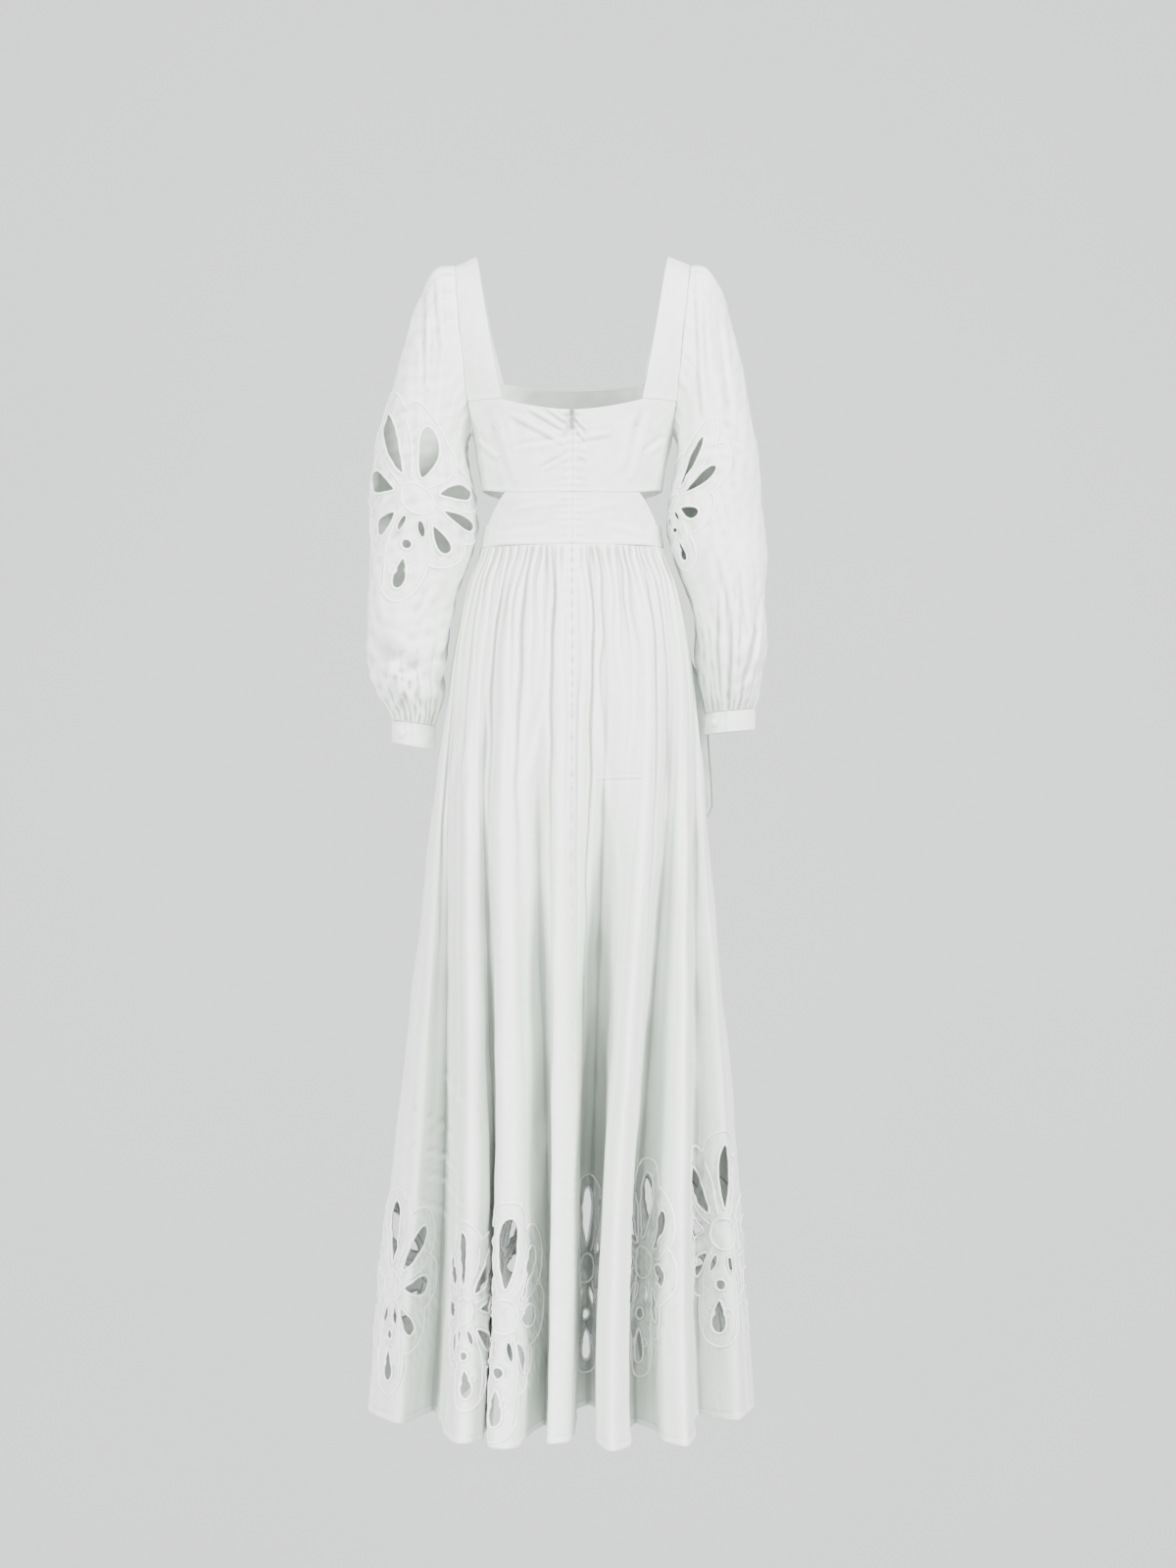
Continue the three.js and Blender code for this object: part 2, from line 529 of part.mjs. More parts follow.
// All openings of a flower placed on a panel of the given flat size, as outlines in its (u, v) square
function flowerOutlines(flower, wide, high) {
  const tilt = THREE.MathUtils.degToRad(flower.tilt);
  return FLOWER_OPENINGS.map((opening) => openingOutline(opening).map((p) => {
    const x = flower.size * (p.x * Math.cos(tilt) - p.y * Math.sin(tilt));
    const y = flower.size * (p.x * Math.sin(tilt) + p.y * Math.cos(tilt));
    return { u: flower.across + x / wide, v: flower.height + y / high };
  })).filter((outline) => outline.every((p) => p.u > 0.02 && p.u < 0.98));
}

// A copy of a geometry with only its positions, so that vertices on an edge can merge
function bare(geometry) {
  const copy = geometry.clone();
  copy.deleteAttribute('normal');
  copy.deleteAttribute('uv');
  return copy;
}

// Turns a three.js geometry into a solid of the boolean library
function toSolid(geometry) {
  const merged = BufferGeometryUtils.mergeVertices(bare(geometry));
  return new wasm.Manifold(new wasm.Mesh({
    numProp: 3,
    vertProperties: new Float32Array(merged.attributes.position.array),
    triVerts: new Uint32Array(merged.index.array),
  }));
}

function fromSolid(solid) {
  const mesh = solid.getMesh();
  const geometry = new THREE.BufferGeometry();
  geometry.setAttribute('position', new THREE.BufferAttribute(new Float32Array(mesh.vertProperties), 3));
  geometry.setIndex([...mesh.triVerts]);
  geometry.computeVertexNormals();
  return geometry;
}

// The flat sheet is bowed a little so that its grid stays when openings are cut, then bent onto the surface
const SHEET = { bow: 2e-4, half: 20, cutLow: -200, cutHigh: 400 };

function flatSheet(us, vs, wide, high) {
  const positions = [];
  const lift = (p, q) => SHEET.bow * ((p - wide / 2) ** 2 + (q - high / 2) ** 2);
  for (const side of [1, -1]) {
    for (const v of vs) {
      for (const u of us) positions.push(u * wide, v * high, lift(u * wide, v * high) + side * SHEET.half);
    }
  }
  const columns = us.length;
  const layer = columns * vs.length;
  const index = [];
  const quad = (a, b, c, d) => index.push(a, b, c, a, c, d);
  for (let j = 0; j < vs.length - 1; j += 1) {
    for (let i = 0; i < columns - 1; i += 1) {
      const a = j * columns + i;
      quad(a, a + 1, a + columns + 1, a + columns);
      quad(layer + a, layer + a + columns, layer + a + columns + 1, layer + a + 1);
    }
  }
  for (let i = 0; i < columns - 1; i += 1) {
    const top = (vs.length - 1) * columns + i;
    quad(i, layer + i, layer + i + 1, i + 1);
    quad(top, top + 1, layer + top + 1, layer + top);
  }
  for (let j = 0; j < vs.length - 1; j += 1) {
    const left = j * columns;
    const right = left + columns - 1;
    quad(left, left + columns, layer + left + columns, layer + left);
    quad(right, layer + right, layer + right + columns, right + columns);
  }
  const geometry = new THREE.BufferGeometry();
  geometry.setAttribute('position', new THREE.BufferAttribute(new Float32Array(positions), 3));
  geometry.setIndex(index);
  return { geometry, lift };
}

// A wall of cloth on a surface, half a seam short of each side, with its openings cut through
function clothPanel(name, surface, panel) {
  const { wide, high, us, vs, runsOn = false, outlines = [], wall = WALL } = panel;
  const ends = panel.ends ?? [wide, wide];
  const { geometry, lift } = flatSheet(us, vs, wide, high);
  let cut = geometry;
  if (outlines.length > 0) {
    const cutters = outlines.map((outline) => {
      const shape = new THREE.Shape(outline.map((p) => new THREE.Vector2(p.u * wide, p.v * high)));
      const depth = SHEET.cutHigh - SHEET.cutLow;
      const prism = new THREE.ExtrudeGeometry(shape, { depth, bevelEnabled: false });
      return toSolid(prism.translate(0, 0, SHEET.cutLow));
    });
    cut = fromSolid(toSolid(geometry).subtract(wasm.Manifold.union(cutters)));
  }
  const position = cut.attributes.position;
  const step = 0.0015;
  const low = runsOn ? -1 : 0;
  const top = runsOn ? 2 : 1;
  for (let i = 0; i < position.count; i += 1) {
    const v = position.getY(i) / high;
    const back = SIDE_BACK / THREE.MathUtils.lerp(ends[0], ends[1], v);
    const u = back + (1 - 2 * back) * (position.getX(i) / wide);
    const side = position.getZ(i) > lift(position.getX(i), position.getY(i)) ? 1 : -1;
    const along = surface(Math.min(top, u + step), v).sub(surface(Math.max(low, u - step), v));
    const up = surface(u, Math.min(top, v + step)).sub(surface(u, Math.max(low, v - step)));
    const normal = along.cross(up).normalize();
    const point = surface(u, v).addScaledVector(normal, (side * wall) / 2);
    position.setXYZ(i, point.x, point.y, point.z);
  }
  cut.computeVertexNormals();
  return named(name, cut, cotton());
}

function named(name, geometry, material) {
  const mesh = new THREE.Mesh(geometry, material);
  mesh.name = name;
  return mesh;
}

// Even steps from 0 to 1, held back from each end by the given share
function steps(count, start = 0, end = 0) {
  return Array.from({ length: count + 1 }, (_, i) => start + (1 - start - end) * (i / count));
}

const dress = new THREE.Group();

function buildBodice() {
  for (const [side, hand] of [['left', LEFT], ['right', RIGHT]]) {
    dress.add(clothPanel(`bodice_back_${side}`, bandSurface(BACK, hand, BACK_NECK), {
      wide: 180, high: 105, us: steps(10), vs: steps(5),
    }));
    dress.add(clothPanel(`midriff_back_${side}`, midriffSurface(BACK, hand), {
      wide: 175, high: 60, us: steps(12), vs: steps(2),
    }));
    for (const [where, face] of [['back', BACK], ['front', FRONT]]) {
      dress.add(clothPanel(`strap_${where}_${side}`, strapSurface(face, hand), {
        wide: 40, high: 200, us: steps(2), vs: steps(7, 0, 0.002), ends: [200, 200],
      }));
    }
  }
  dress.add(clothPanel('bodice_front', frontBandSurface(), {
    wide: 380, high: 150, us: steps(20), vs: steps(6),
  }));
  dress.add(clothPanel('midriff_front', frontMidriffSurface(), {
    wide: 350, high: 60, us: steps(20), vs: steps(2),
  }));
}

// Rows of the skirt's grid, from the hem up to the gathers
const SKIRT_ROWS = [-1477, -1400, -1310, -1205, -1060, -880, -690, -540, -450, -400, WAIST_Z - WAIST_GAP / 2];

// Length of cloth across a panel at one height
function clothAcross(surface, v) {
  const points = steps(200).map((u) => surface(u, v));
  return points.reduce((sum, point, i) => sum + (i > 0 ? point.distanceTo(points[i - 1]) : 0), 0);
}

function buildSkirt() {
  const panels = [
    { name: 'skirt_back_left', columns: 43, slit: false },
    { name: 'skirt_back_right', columns: 42, slit: false },
    { name: 'skirt_front_right', columns: 24, slit: true },
    { name: 'skirt_front_left', columns: 24, slit: true },
  ];
  const high = WAIST_Z - WAIST_GAP / 2 - HEM_Z;
  panels.forEach((panel, quarter) => {
    const surface = skirtSurface(quarter, panel.slit);
    const wide = clothAcross(surface, FLOWER_ROW / high);
    const outlines = SKIRT_FLOWERS[panel.name].flatMap(
      (flower) => flowerOutlines({ ...flower, height: flower.up / high }, wide, high),
    );
    dress.add(clothPanel(panel.name, surface, {
      wide,
      high,
      us: steps(panel.columns),
      vs: SKIRT_ROWS.map((z) => (z - HEM_Z) / high),
      outlines,
      ends: [clothAcross(surface, 0), clothAcross(surface, 1)],
      runsOn: true,
    }));
  });
}

function buildSleeves() {
  for (const [side, hand, rows] of [['left', LEFT, SLEEVE_LEFT], ['right', RIGHT, SLEEVE_RIGHT]]) {
    for (const [where, face] of [['back', BACK], ['front', FRONT]]) {
      const name = `sleeve_${side}_${where}`;
      const wide = 205;
      const high = 560;
      const flowers = SLEEVE_FLOWERS[name] ?? [];
      const outlines = flowers.flatMap(
        (flower) => flowerOutlines({ ...flower, height: flower.up }, wide, high),
      );
      const [columns, rings] = face === BACK ? [11, 12] : [9, 11];
      dress.add(clothPanel(name, sleeveSurface(rows, hand, face), {
        wide, high, us: steps(columns), vs: steps(rings, 0.001, 0), ends: [90, 190], outlines,
      }));
    }
  }
}

// A cuff is a strip once round the wrist, and its two ends meet under the button
function cuffSurface(cuff) {
  return (u, v) => {
    const turn = THREE.MathUtils.degToRad(cuff.edge) + 2 * Math.PI * u;
    const across = (1 + Math.cos(turn) * Math.sign(cuff.outX)) / 2;
    const top = THREE.MathUtils.lerp(cuff.topIn, cuff.topOut, across);
    const low = THREE.MathUtils.lerp(cuff.lowIn, cuff.lowOut, across);
    const x = (cuff.outX + cuff.inX) / 2 + (Math.abs(cuff.outX - cuff.inX) / 2) * Math.cos(turn);
    return new THREE.Vector3(x, cuff.y + cuff.depth * Math.sin(turn), THREE.MathUtils.lerp(low, top, v));
  };
}

function coveredButton(name, cuff) {
  const profile = [new THREE.Vector2(0, 0)];
  for (const row of BUTTON_ROWS) profile.push(new THREE.Vector2(row.radius, row.height));
  profile.push(new THREE.Vector2(0, BUTTON_TOP));
  const turned = BufferGeometryUtils.mergeVertices(bare(new THREE.LatheGeometry(profile, 10)));
  const surface = cuffSurface(cuff);
  const u = (360 + cuff.button - cuff.edge) / 360;
  const at = surface(u, 0.5);
  const step = 0.01;
  const along = surface(u + step, 0.5).sub(surface(u - step, 0.5));
  const normal = along.cross(surface(u, 0.6).sub(surface(u, 0.4))).normalize();
  const mesh = named(name, turned, cotton());
  mesh.quaternion.setFromUnitVectors(new THREE.Vector3(0, 1, 0), normal);
  mesh.position.copy(at.addScaledVector(normal, WALL / 2 + SEAM));
  return mesh;
}

function buildCuffs() {
  for (const [side, cuff] of Object.entries(CUFFS)) {
    const round = Math.PI * (Math.abs(cuff.outX - cuff.inX) / 2 + cuff.depth);
    dress.add(clothPanel(`cuff_${side}`, cuffSurface(cuff), {
      wide: round, high: 27, us: steps(24), vs: steps(1), runsOn: true,
    }));
    dress.add(coveredButton(`cuff_button_${side}`, cuff));
  }
}

// How far back the outside of the dress stands behind the body's middle, at a place near the back seam
function backDepth(x, z) {
  if (z > WAIST_Z) {
    const share = shareAtWidth(Math.abs(x) / read(BODY, 'z', z, 'side'), read(BODY, 'z', z, 'square'));
    return bodyPoint(share, z, BACK, LEFT).y;
  }
  const quarter = x > 0 ? 0 : 1;
  const surface = skirtSurface(quarter, false);
  const v = (z - HEM_Z) / (WAIST_Z - WAIST_GAP / 2 - HEM_Z);
  const tries = 40;
  for (let i = 0; i < tries; i += 1) {
    const point = surface(quarter === 0 ? 1 - i / tries : i / tries, v);
    if (Math.abs(point.x) >= Math.abs(x) && Math.sign(point.x) === Math.sign(x || 1)) return point.y;
  }
  return surface(quarter === 0 ? 1 : 0, v).y;
}

function tapeSurface(u, v) {
  const x = THREE.MathUtils.lerp(ZIP.halfWidth, -ZIP.halfWidth, u);
  const z = THREE.MathUtils.lerp(ZIP.bottomZ, ZIP.topZ, v);
  const free = ZIP.freeBelowWaist * THREE.MathUtils.smoothstep(WAIST_Z - z, -8, 20);
  return new THREE.Vector3(x, backDepth(x, z) - ZIP.behind - free, z);
}

function zipSlider(y) {
  const body = new THREE.Shape();
  const { halfWidth, halfHeight } = SLIDER;
  body.moveTo(-halfWidth * 0.7, -halfHeight);
  body.lineTo(halfWidth * 0.7, -halfHeight);
  body.lineTo(halfWidth, halfHeight * 0.3);
  body.absarc(0, halfHeight * 0.3, halfWidth, 0, Math.PI, false);
  const plate = new THREE.ExtrudeGeometry(body, { depth: SLIDER.thick, bevelEnabled: false, curveSegments: 5 });
  plate.rotateX(Math.PI / 2).translate(0, SLIDER.thick, 0);
  const arch = new THREE.Shape();
  arch.moveTo(-0.5, -BRIDGE.half);
  arch.lineTo(BRIDGE.out - 1.2, -BRIDGE.half);
  arch.lineTo(BRIDGE.out, 1.2 - BRIDGE.half);
  arch.lineTo(BRIDGE.out, BRIDGE.half - 1.2);
  arch.lineTo(BRIDGE.out - 1.2, BRIDGE.half);
  arch.lineTo(-0.5, BRIDGE.half);
  const hole = new THREE.Path();
  hole.moveTo(0, -BRIDGE.holeHalf);
  hole.lineTo(0, BRIDGE.holeHalf);
  hole.lineTo(BRIDGE.holeOut, BRIDGE.holeHalf);
  hole.lineTo(BRIDGE.holeOut, -BRIDGE.holeHalf);
  arch.holes.push(hole);
  // Drawn as (outward, height) and turned so that outward is +Y, height is +Z and the thickness is along X
  const bridge = new THREE.ExtrudeGeometry(arch, { depth: 2 * BRIDGE.halfWidth, bevelEnabled: false });
  bridge.translate(0, 0, -BRIDGE.halfWidth);
  bridge.applyMatrix4(new THREE.Matrix4().makeBasis(
    new THREE.Vector3(0, 1, 0), new THREE.Vector3(0, 0, 1), new THREE.Vector3(1, 0, 0),
  ));
  bridge.translate(0, SLIDER.thick, 0);
  const mesh = named('zip_slider', fromSolid(toSolid(plate).add(toSolid(bridge))), metal());
  mesh.position.set(0, y, SLIDER.z);
  return mesh;
}

function zipPullTab(y) {
  const { halfWidth, top, bottom, thick } = TAB;
  const gap = TAB_WINDOW;
  const outline = new THREE.Shape();
  outline.moveTo(-halfWidth, top);
  outline.lineTo(-halfWidth, bottom + halfWidth);
  outline.absarc(0, bottom + halfWidth, halfWidth, Math.PI, 2 * Math.PI, false);
  outline.lineTo(halfWidth, top);
  const hole = new THREE.Path();
  hole.moveTo(-gap.half, gap.top);
  hole.lineTo(gap.half, gap.top);
  hole.lineTo(gap.half, gap.bottom);
  hole.lineTo(-gap.half, gap.bottom);
  outline.holes.push(hole);
  const plate = new THREE.ExtrudeGeometry(outline, { depth: thick, bevelEnabled: false, curveSegments: 6 });
  plate.rotateX(Math.PI / 2).translate(0, thick / 2, 0);
  const mesh = named('zip_pull_tab', plate, metal());
  mesh.position.set(0, y, SLIDER.z);
  return mesh;
}

function buildZip() {
  dress.add(clothPanel('zip_tape', tapeSurface, {
    wide: 2 * ZIP.halfWidth, high: ZIP.topZ - ZIP.bottomZ, us: steps(2), vs: steps(14), wall: ZIP.tape,
  }));
  const faceY = read(BODY, 'z', SLIDER.z + SLIDER.halfHeight, 'back') + WALL / 2 + SEAM;
  dress.add(zipSlider(faceY));
  dress.add(zipPullTab(faceY + SLIDER.thick + TAB.axisOut));
}

// How far forward a sheet stands when it lies on the outside of the midriff
function onMidriff(x, z) {
  const depth = (at) => {
    const share = shareAtWidth(Math.abs(at) / read(BODY, 'z', z, 'side'), read(BODY, 'z', z, 'square'));
    return bodyPoint(share, z, FRONT, LEFT).y;
  };
  return depth(x) - (WALL + SASH_OFF) * Math.hypot(1, depth(x + 0.5) - depth(x - 0.5));
}

// The sash end is sewn flat on the midriff at the waist and hangs free in front of the skirt
function sashSurface(u, v) {
  const low = SASH[0].z + SASH_END_ROUNDING * (1 - Math.sqrt(Math.max(0, 1 - (2 * u - 1) ** 2)));
  const z = THREE.MathUtils.lerp(low, SASH[SASH.length - 1].z, v);
  const row = (name) => read(SASH, 'z', z, name);
  const x = THREE.MathUtils.lerp(row('outX'), row('inX'), u);
  const wave = SASH_WAVE * Math.sin(3 * Math.PI * u) * (1 - v);
  const hung = THREE.MathUtils.lerp(row('outY'), row('inY'), u) - 4 * u * (1 - u) * row('bow') + wave;
  const sewn = THREE.MathUtils.smoothstep(z, SASH_SEWN.from, SASH_SEWN.full);
  const seated = onMidriff(x, Math.max(z, WAIST_Z));
  return new THREE.Vector3(x, THREE.MathUtils.lerp(hung, seated, sewn), z);
}

function buildSash() {
  dress.add(clothPanel('sash_end', sashSurface, {
    wide: 80,
    high: 360,
    us: steps(7, 0.02, 0.02),
    vs: [0, 0.13, 0.27, 0.42, 0.57, 0.72, 0.86, 0.95, 0.982, 1],
  }));
}

buildBodice();
buildSkirt();
buildSleeves();
buildCuffs();
buildZip();
buildSash();

export default dress;
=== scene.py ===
"""Ankle-length white cotton dress with balloon sleeves and cutwork flowers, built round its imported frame."""
import math
import random

import bpy
import numpy as np
from bpy.props import FloatProperty, FloatVectorProperty, PointerProperty
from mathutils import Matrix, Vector
from mathutils.geometry import delaunay_2d_cdt


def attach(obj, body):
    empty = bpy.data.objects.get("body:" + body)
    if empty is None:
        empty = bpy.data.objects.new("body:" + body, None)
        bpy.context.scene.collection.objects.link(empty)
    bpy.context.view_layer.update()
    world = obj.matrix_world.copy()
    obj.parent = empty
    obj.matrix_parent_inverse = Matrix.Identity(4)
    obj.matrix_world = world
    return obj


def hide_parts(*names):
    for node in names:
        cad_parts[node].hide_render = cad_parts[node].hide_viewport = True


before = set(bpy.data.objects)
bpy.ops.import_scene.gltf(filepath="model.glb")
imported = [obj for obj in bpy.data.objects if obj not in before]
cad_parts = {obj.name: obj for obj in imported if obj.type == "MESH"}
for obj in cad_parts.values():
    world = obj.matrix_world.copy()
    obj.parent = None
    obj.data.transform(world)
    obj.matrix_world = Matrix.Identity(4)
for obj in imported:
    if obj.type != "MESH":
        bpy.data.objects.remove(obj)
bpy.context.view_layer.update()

bl_info = {
    "name": "Cutwork Cotton Dress",
    "version": (1, 0, 0),
    "blender": (4, 5, 0),
    "location": "3D View > Sidebar > Dress",
    "description": "Builds a white cotton dress with balloon sleeves, a gathered skirt and cutwork flowers",
    "category": "Add Mesh",
}

MM = 0.001
LEFT, RIGHT, BACK, FRONT = 1, -1, 1, -1
DRESS = "dress"
SIDES = (("left", LEFT), ("right", RIGHT))
FACES = (("back", BACK), ("front", FRONT))

# Driving sizes in millimetres: +Z up, the back faces +Y, the wearer's left is +X, strap tops at z = 0
WAIST_Z = -372.0
HEM_Z = -1477.0
SKIRT_HIGH = WAIST_Z - HEM_Z
BAND_BOTTOM_SIDE_Z = -300.0
BAND_BOTTOM_MIDDLE_Z = -307.0
BAND_RISE = (0.3, 0.9)
NECK_CURVE = 1.8
NECK = {
    BACK: {"corner": 88, "corner_z": -191, "middle_z": -205},
    FRONT: {"corner": 90, "corner_z": -150, "middle_z": -158},
}
STRAP_RIDGE = (122, 0, 0)
ARMHOLE = {"top_x": 149, "top_z": -11.5, "bottom_x": 128, "bottom_z": -225, "depth": 62}
CUT_OUT = {"top_x": 84, "lower_x": 106, "lower_z": -344}
CUP = {"x": 58, "z": -206, "spread_x": 40, "spread_z": 46, "height": 16}
SLIT = {"top_z": -980, "half": 62}
HEM_STITCH = 6.2
SKIRT_SQUARE = 2.2
SLEEVE_SQUARE = 2.15
SLEEVE_WIDE, SLEEVE_LONG = 205, 560
CUFF_HIGH = 27
ZIP = {"half": 11, "top_z": -209, "bottom_z": -520, "thick": 0.5}


def table(names, *rows):
    """Rows of numbers as one array for each named column."""
    return {name: np.array(column, float) for name, column in zip(names.split(), zip(*rows))}


BODY = table(
    "z side back front square",
    (-372, 116, 80, 85, 2.3), (-340, 112, 75, 82, 2.3), (-306, 113, 76, 84, 2.3),
    (-250, 122.5, 83, 94, 2.35), (-225, 128, 86, 99, 2.4), (-191, 141, 88, 101, 2.8),
    (-150, 143, 88, 97, 2.8), (-120, 145, 86, 92, 2.8),
)
SKIRT = table(
    "z side back front lean",
    (-1477, 244, 196, 196, 16), (-1374, 237, 192, 190, 14), (-1277, 230, 187, 184, 12),
    (-1158, 219.5, 180, 177, 10), (-1068, 211, 174, 171, 8), (-972, 201, 167, 165, 7),
    (-877, 190.6, 159, 158, 6), (-804, 183, 152, 151, 5), (-709, 174, 143, 143, 4),
    (-587, 161, 129, 130, 1), (-517, 152.5, 119, 121, 0), (-447, 139, 105, 108, 0),
    (-412, 130, 95, 99, 0), (-385, 119, 84, 89, 0), (-372, 116, 80, 85, 0),
)
HEM_BACK_LEFT = [
    (263, -45), (240, 18), (217, 48), (196, 10), (180, -22), (166, 40), (154, 116), (134, 164),
    (114, 152), (110, 104), (105, 76), (100, 106), (102, 162), (94, 190), (80, 194), (56, 128),
    (34, 62), (27, 112), (25, 166), (4, 156), (-1, 128),
]
HEM_BACK_RIGHT = [
    (-1, 128), (-4, 30), (-8, -44), (-20, -60), (-31, -40), (-33, 60), (-36, 172), (-50, 204),
    (-65, 186), (-69, 96), (-80, 52), (-100, 84), (-120, 160), (-138, 178), (-150, 140),
    (-153, 50), (-164, -4), (-186, 20), (-206, 30), (-222, -15),
]
HEM_FRONT_RIGHT = [
    (-222, -15), (-228, -64), (-200, -62), (-176, -120), (-146, -166), (-118, -116), (-92, -168),
    (-66, -204), (-38, -168), (5, -196),
]
HEM_FRONT_LEFT = [
    (5, -196), (32, -170), (60, -210), (88, -146), (118, -192), (146, -124), (178, -156),
    (206, -82), (242, -98), (263, -45),
]
SLEEVE_ROWS = {
    "left": (
        (149, -11.5, 128, -225, 62, 0), (172, -15, 133, -236, 65, 0), (192, -49, 134, -246, 67, 0),
        (208, -92, 133, -258, 69, 1), (220, -140, 131, -274, 70, 2), (233, -192, 127, -294, 71, 3),
        (248, -252, 123, -320, 72, 3), (257, -310, 121, -352, 72, 3), (260, -372, 130, -392, 71, 2),
        (260, -430, 148, -434, 69, 1), (259, -482, 158, -480, 66, 0), (256, -526, 165, -524, 60, -2),
        (246, -560, 166, -562, 48, -5), (232, -580, 172, -584, 34, -7), (229, -591, 176, -598, 27, -8),
    ),
    "right": (
        (149, -11.5, 128, -225, 62, 0), (168, -13, 133, -236, 65, 0), (188, -40, 134, -246, 67, 0),
        (203, -86, 133, -258, 69, 1), (215, -136, 131, -274, 70, 2), (226, -188, 127, -294, 71, 3),
        (235, -252, 123, -320, 72, 3), (241, -310, 122, -352, 72, 3), (246, -372, 134, -392, 71, 2),
        (248, -424, 148, -430, 69, 1), (248, -474, 157, -474, 66, 0), (246, -516, 161, -516, 58, -2),
        (241, -546, 164, -550, 46, -5), (236, -566, 168, -570, 36, -7), (232, -576, 170, -582, 30, -8),
    ),
}
CUFFS = {
    "left": {"out": 229, "in": 176, "top_out": -591, "top_in": -598, "low_out": -619, "low_in": -629,
             "depth": 27, "y": -8, "edge": 88, "button": 62},
    "right": {"out": -232, "in": -170, "top_out": -576, "top_in": -582, "low_out": -603, "low_in": -609,
              "depth": 30, "y": -8, "edge": 80, "button": 51},
}
# Largest soft folds of a sleeve's back: along and round the tube, their spread, and the depth
SLEEVE_FOLDS = {
    "left": ((0.2, 0.42, 0.16, 0.05, -5), (0.84, 0.3, 0.025, 0.3, -8)),
    "right": ((0.8, 0.28, 0.03, 0.22, -5), (0.22, 0.35, 0.16, 0.05, -4)),
}
SASH = table(
    "z out_x out_y in_x in_y bow",
    (-729, -186, -108, -112, -140, 5), (-640, -182, -104, -98, -134, 6), (-540, -168, -100, -84, -123, 7),
    (-450, -124, -92, -70, -109, 6), (-400, -104, -73, -64, -94, 5), (-366, -99, -54.8, -63, -77.6, 3.2),
)
# Openings of a flower: direction from straight up, reach from the disc's middle, width and shape
FLOWER_OPENINGS = (
    (0, 32, 120, 40, "petal"), (47, 34, 116, 43, "petal"), (92, 32, 94, 38, "petal"),
    (-47, 34, 112, 43, "petal"), (-92, 32, 92, 38, "petal"), (141, 38, 86, 30, "petal"),
    (-141, 38, 84, 30, "petal"), (180, 88, 134, 30, "petal"), (180, 60, 76, 15, "round"),
    (163, 30, 56, 9, "slit"), (-163, 30, 56, 9, "slit"), (70, 100, 107, 7, "eyelet"),
    (-118, 78, 85, 7, "eyelet"),
)
# Flowers of each panel: place across, height of the disc over the hem, size and tilt
FLOWERS = {
    "skirt_back_left": ((0.07, 168, 0.9, 4), (0.405, 160, 0.8, 6), (0.662, 158, 1, -4)),
    "skirt_back_right": ((0.175, 180, 0.9, 2), (0.607, 205, 0.95, -3), (0.95, 235, 0.95, -6)),
    "skirt_front_right": ((0.24, 175, 0.95, 3), (0.66, 170, 0.95, -4)),
    "skirt_front_left": ((0.34, 170, 0.95, 4), (0.78, 175, 0.95, -3)),
    "sleeve_left_back": ((0.475, 0.545 * SLEEVE_LONG, 0.92, -6),),
    "sleeve_right_back": ((0.12, 0.6 * SLEEVE_LONG, 0.86, 8),),
}
FLOWER_ROW = 170
DISC_RADIUS = 21
# Scallops round a flower: direction of each dip, how far out it is, and how far the lobe after it stands out
SCALLOPS = (
    (-24, 112, 138), (24, 112, 137), (70, 104, 116), (116, 88, 106), (160, 96, 152),
    (200, 96, 104), (244, 86, 112), (290, 102, 134),
)


def smoothstep(x, low, high):
    t = np.clip((x - low) / (high - low), 0, 1)
    return t * t * (3 - 2 * t)


def mix(a, b, t):
    return a + (b - a) * t


def alike(a, b):
    """Two places or heights as arrays of one shape."""
    return np.broadcast_arrays(np.asarray(a, float), np.asarray(b, float))


def read(rows, key, at, column):
    """A smooth curve through the rows of a table, read at values of its key column."""
    x, y = rows[key], rows[column]
    gap = np.diff(x)
    slope = np.diff(y) / gap
    inner = (slope[:-1] * gap[1:] + slope[1:] * gap[:-1]) / (gap[:-1] + gap[1:])
    tangent = np.concatenate([slope[:1], inner, slope[-1:]])
    at = np.asarray(at, float)
    row = np.clip(np.searchsorted(x, at, side="left") - 1, 0, len(slope) - 1)
    t = np.clip((at - x[row]) / gap[row], 0, 1)
    a, b = y[row], y[row + 1]
    bend = t * (1 - t) * gap[row] * ((1 - t) * tangent[row] - t * tangent[row + 1])
    return a + (b - a) * t * t * (3 - 2 * t) + bend


def unit(vectors):
    return vectors / np.maximum(np.linalg.norm(vectors, axis=-1, keepdims=True), 1e-9)


def spaced(rows, names):
    """Adds to a table each row's share of the way along the rows."""
    steps = np.sqrt(sum(np.diff(rows[name]) ** 2 for name in names))
    way = np.concatenate([[0], np.cumsum(steps)])
    return {**rows, "way": way / way[-1]}


def points_of(x, y, z):
    return np.stack(np.broadcast_arrays(np.asarray(x, float), y, z), axis=-1)


def quarter_turn(share, square):
    m = square / 2
    return (math.pi / 2) * share ** m / (share ** m + (1 - share) ** m)


def share_at_width(width, square):
    m = square / 2
    part = np.arcsin(np.clip(width ** m, 0, 1)) / (math.pi / 2)
    with np.errstate(divide="ignore"):
        share = 1 / (1 + ((1 - part) / np.maximum(part, 1e-9)) ** (1 / m))
    return np.where(part >= 1, 1.0, share)


def body_point(share, z, face, hand):
    square = read(BODY, "z", z, "square")
    turn = quarter_turn(share, square)
    x = read(BODY, "z", z, "side") * np.sin(turn) ** (2 / square)
    y = read(BODY, "z", z, "back" if face == BACK else "front") * np.maximum(0, np.cos(turn)) ** (2 / square)
    if face == FRONT:
        spread = ((x - CUP["x"]) / CUP["spread_x"]) ** 2 + ((z - CUP["z"]) / CUP["spread_z"]) ** 2
        y = y + CUP["height"] * np.exp(-spread)
    return points_of(hand * x, face * y, z)


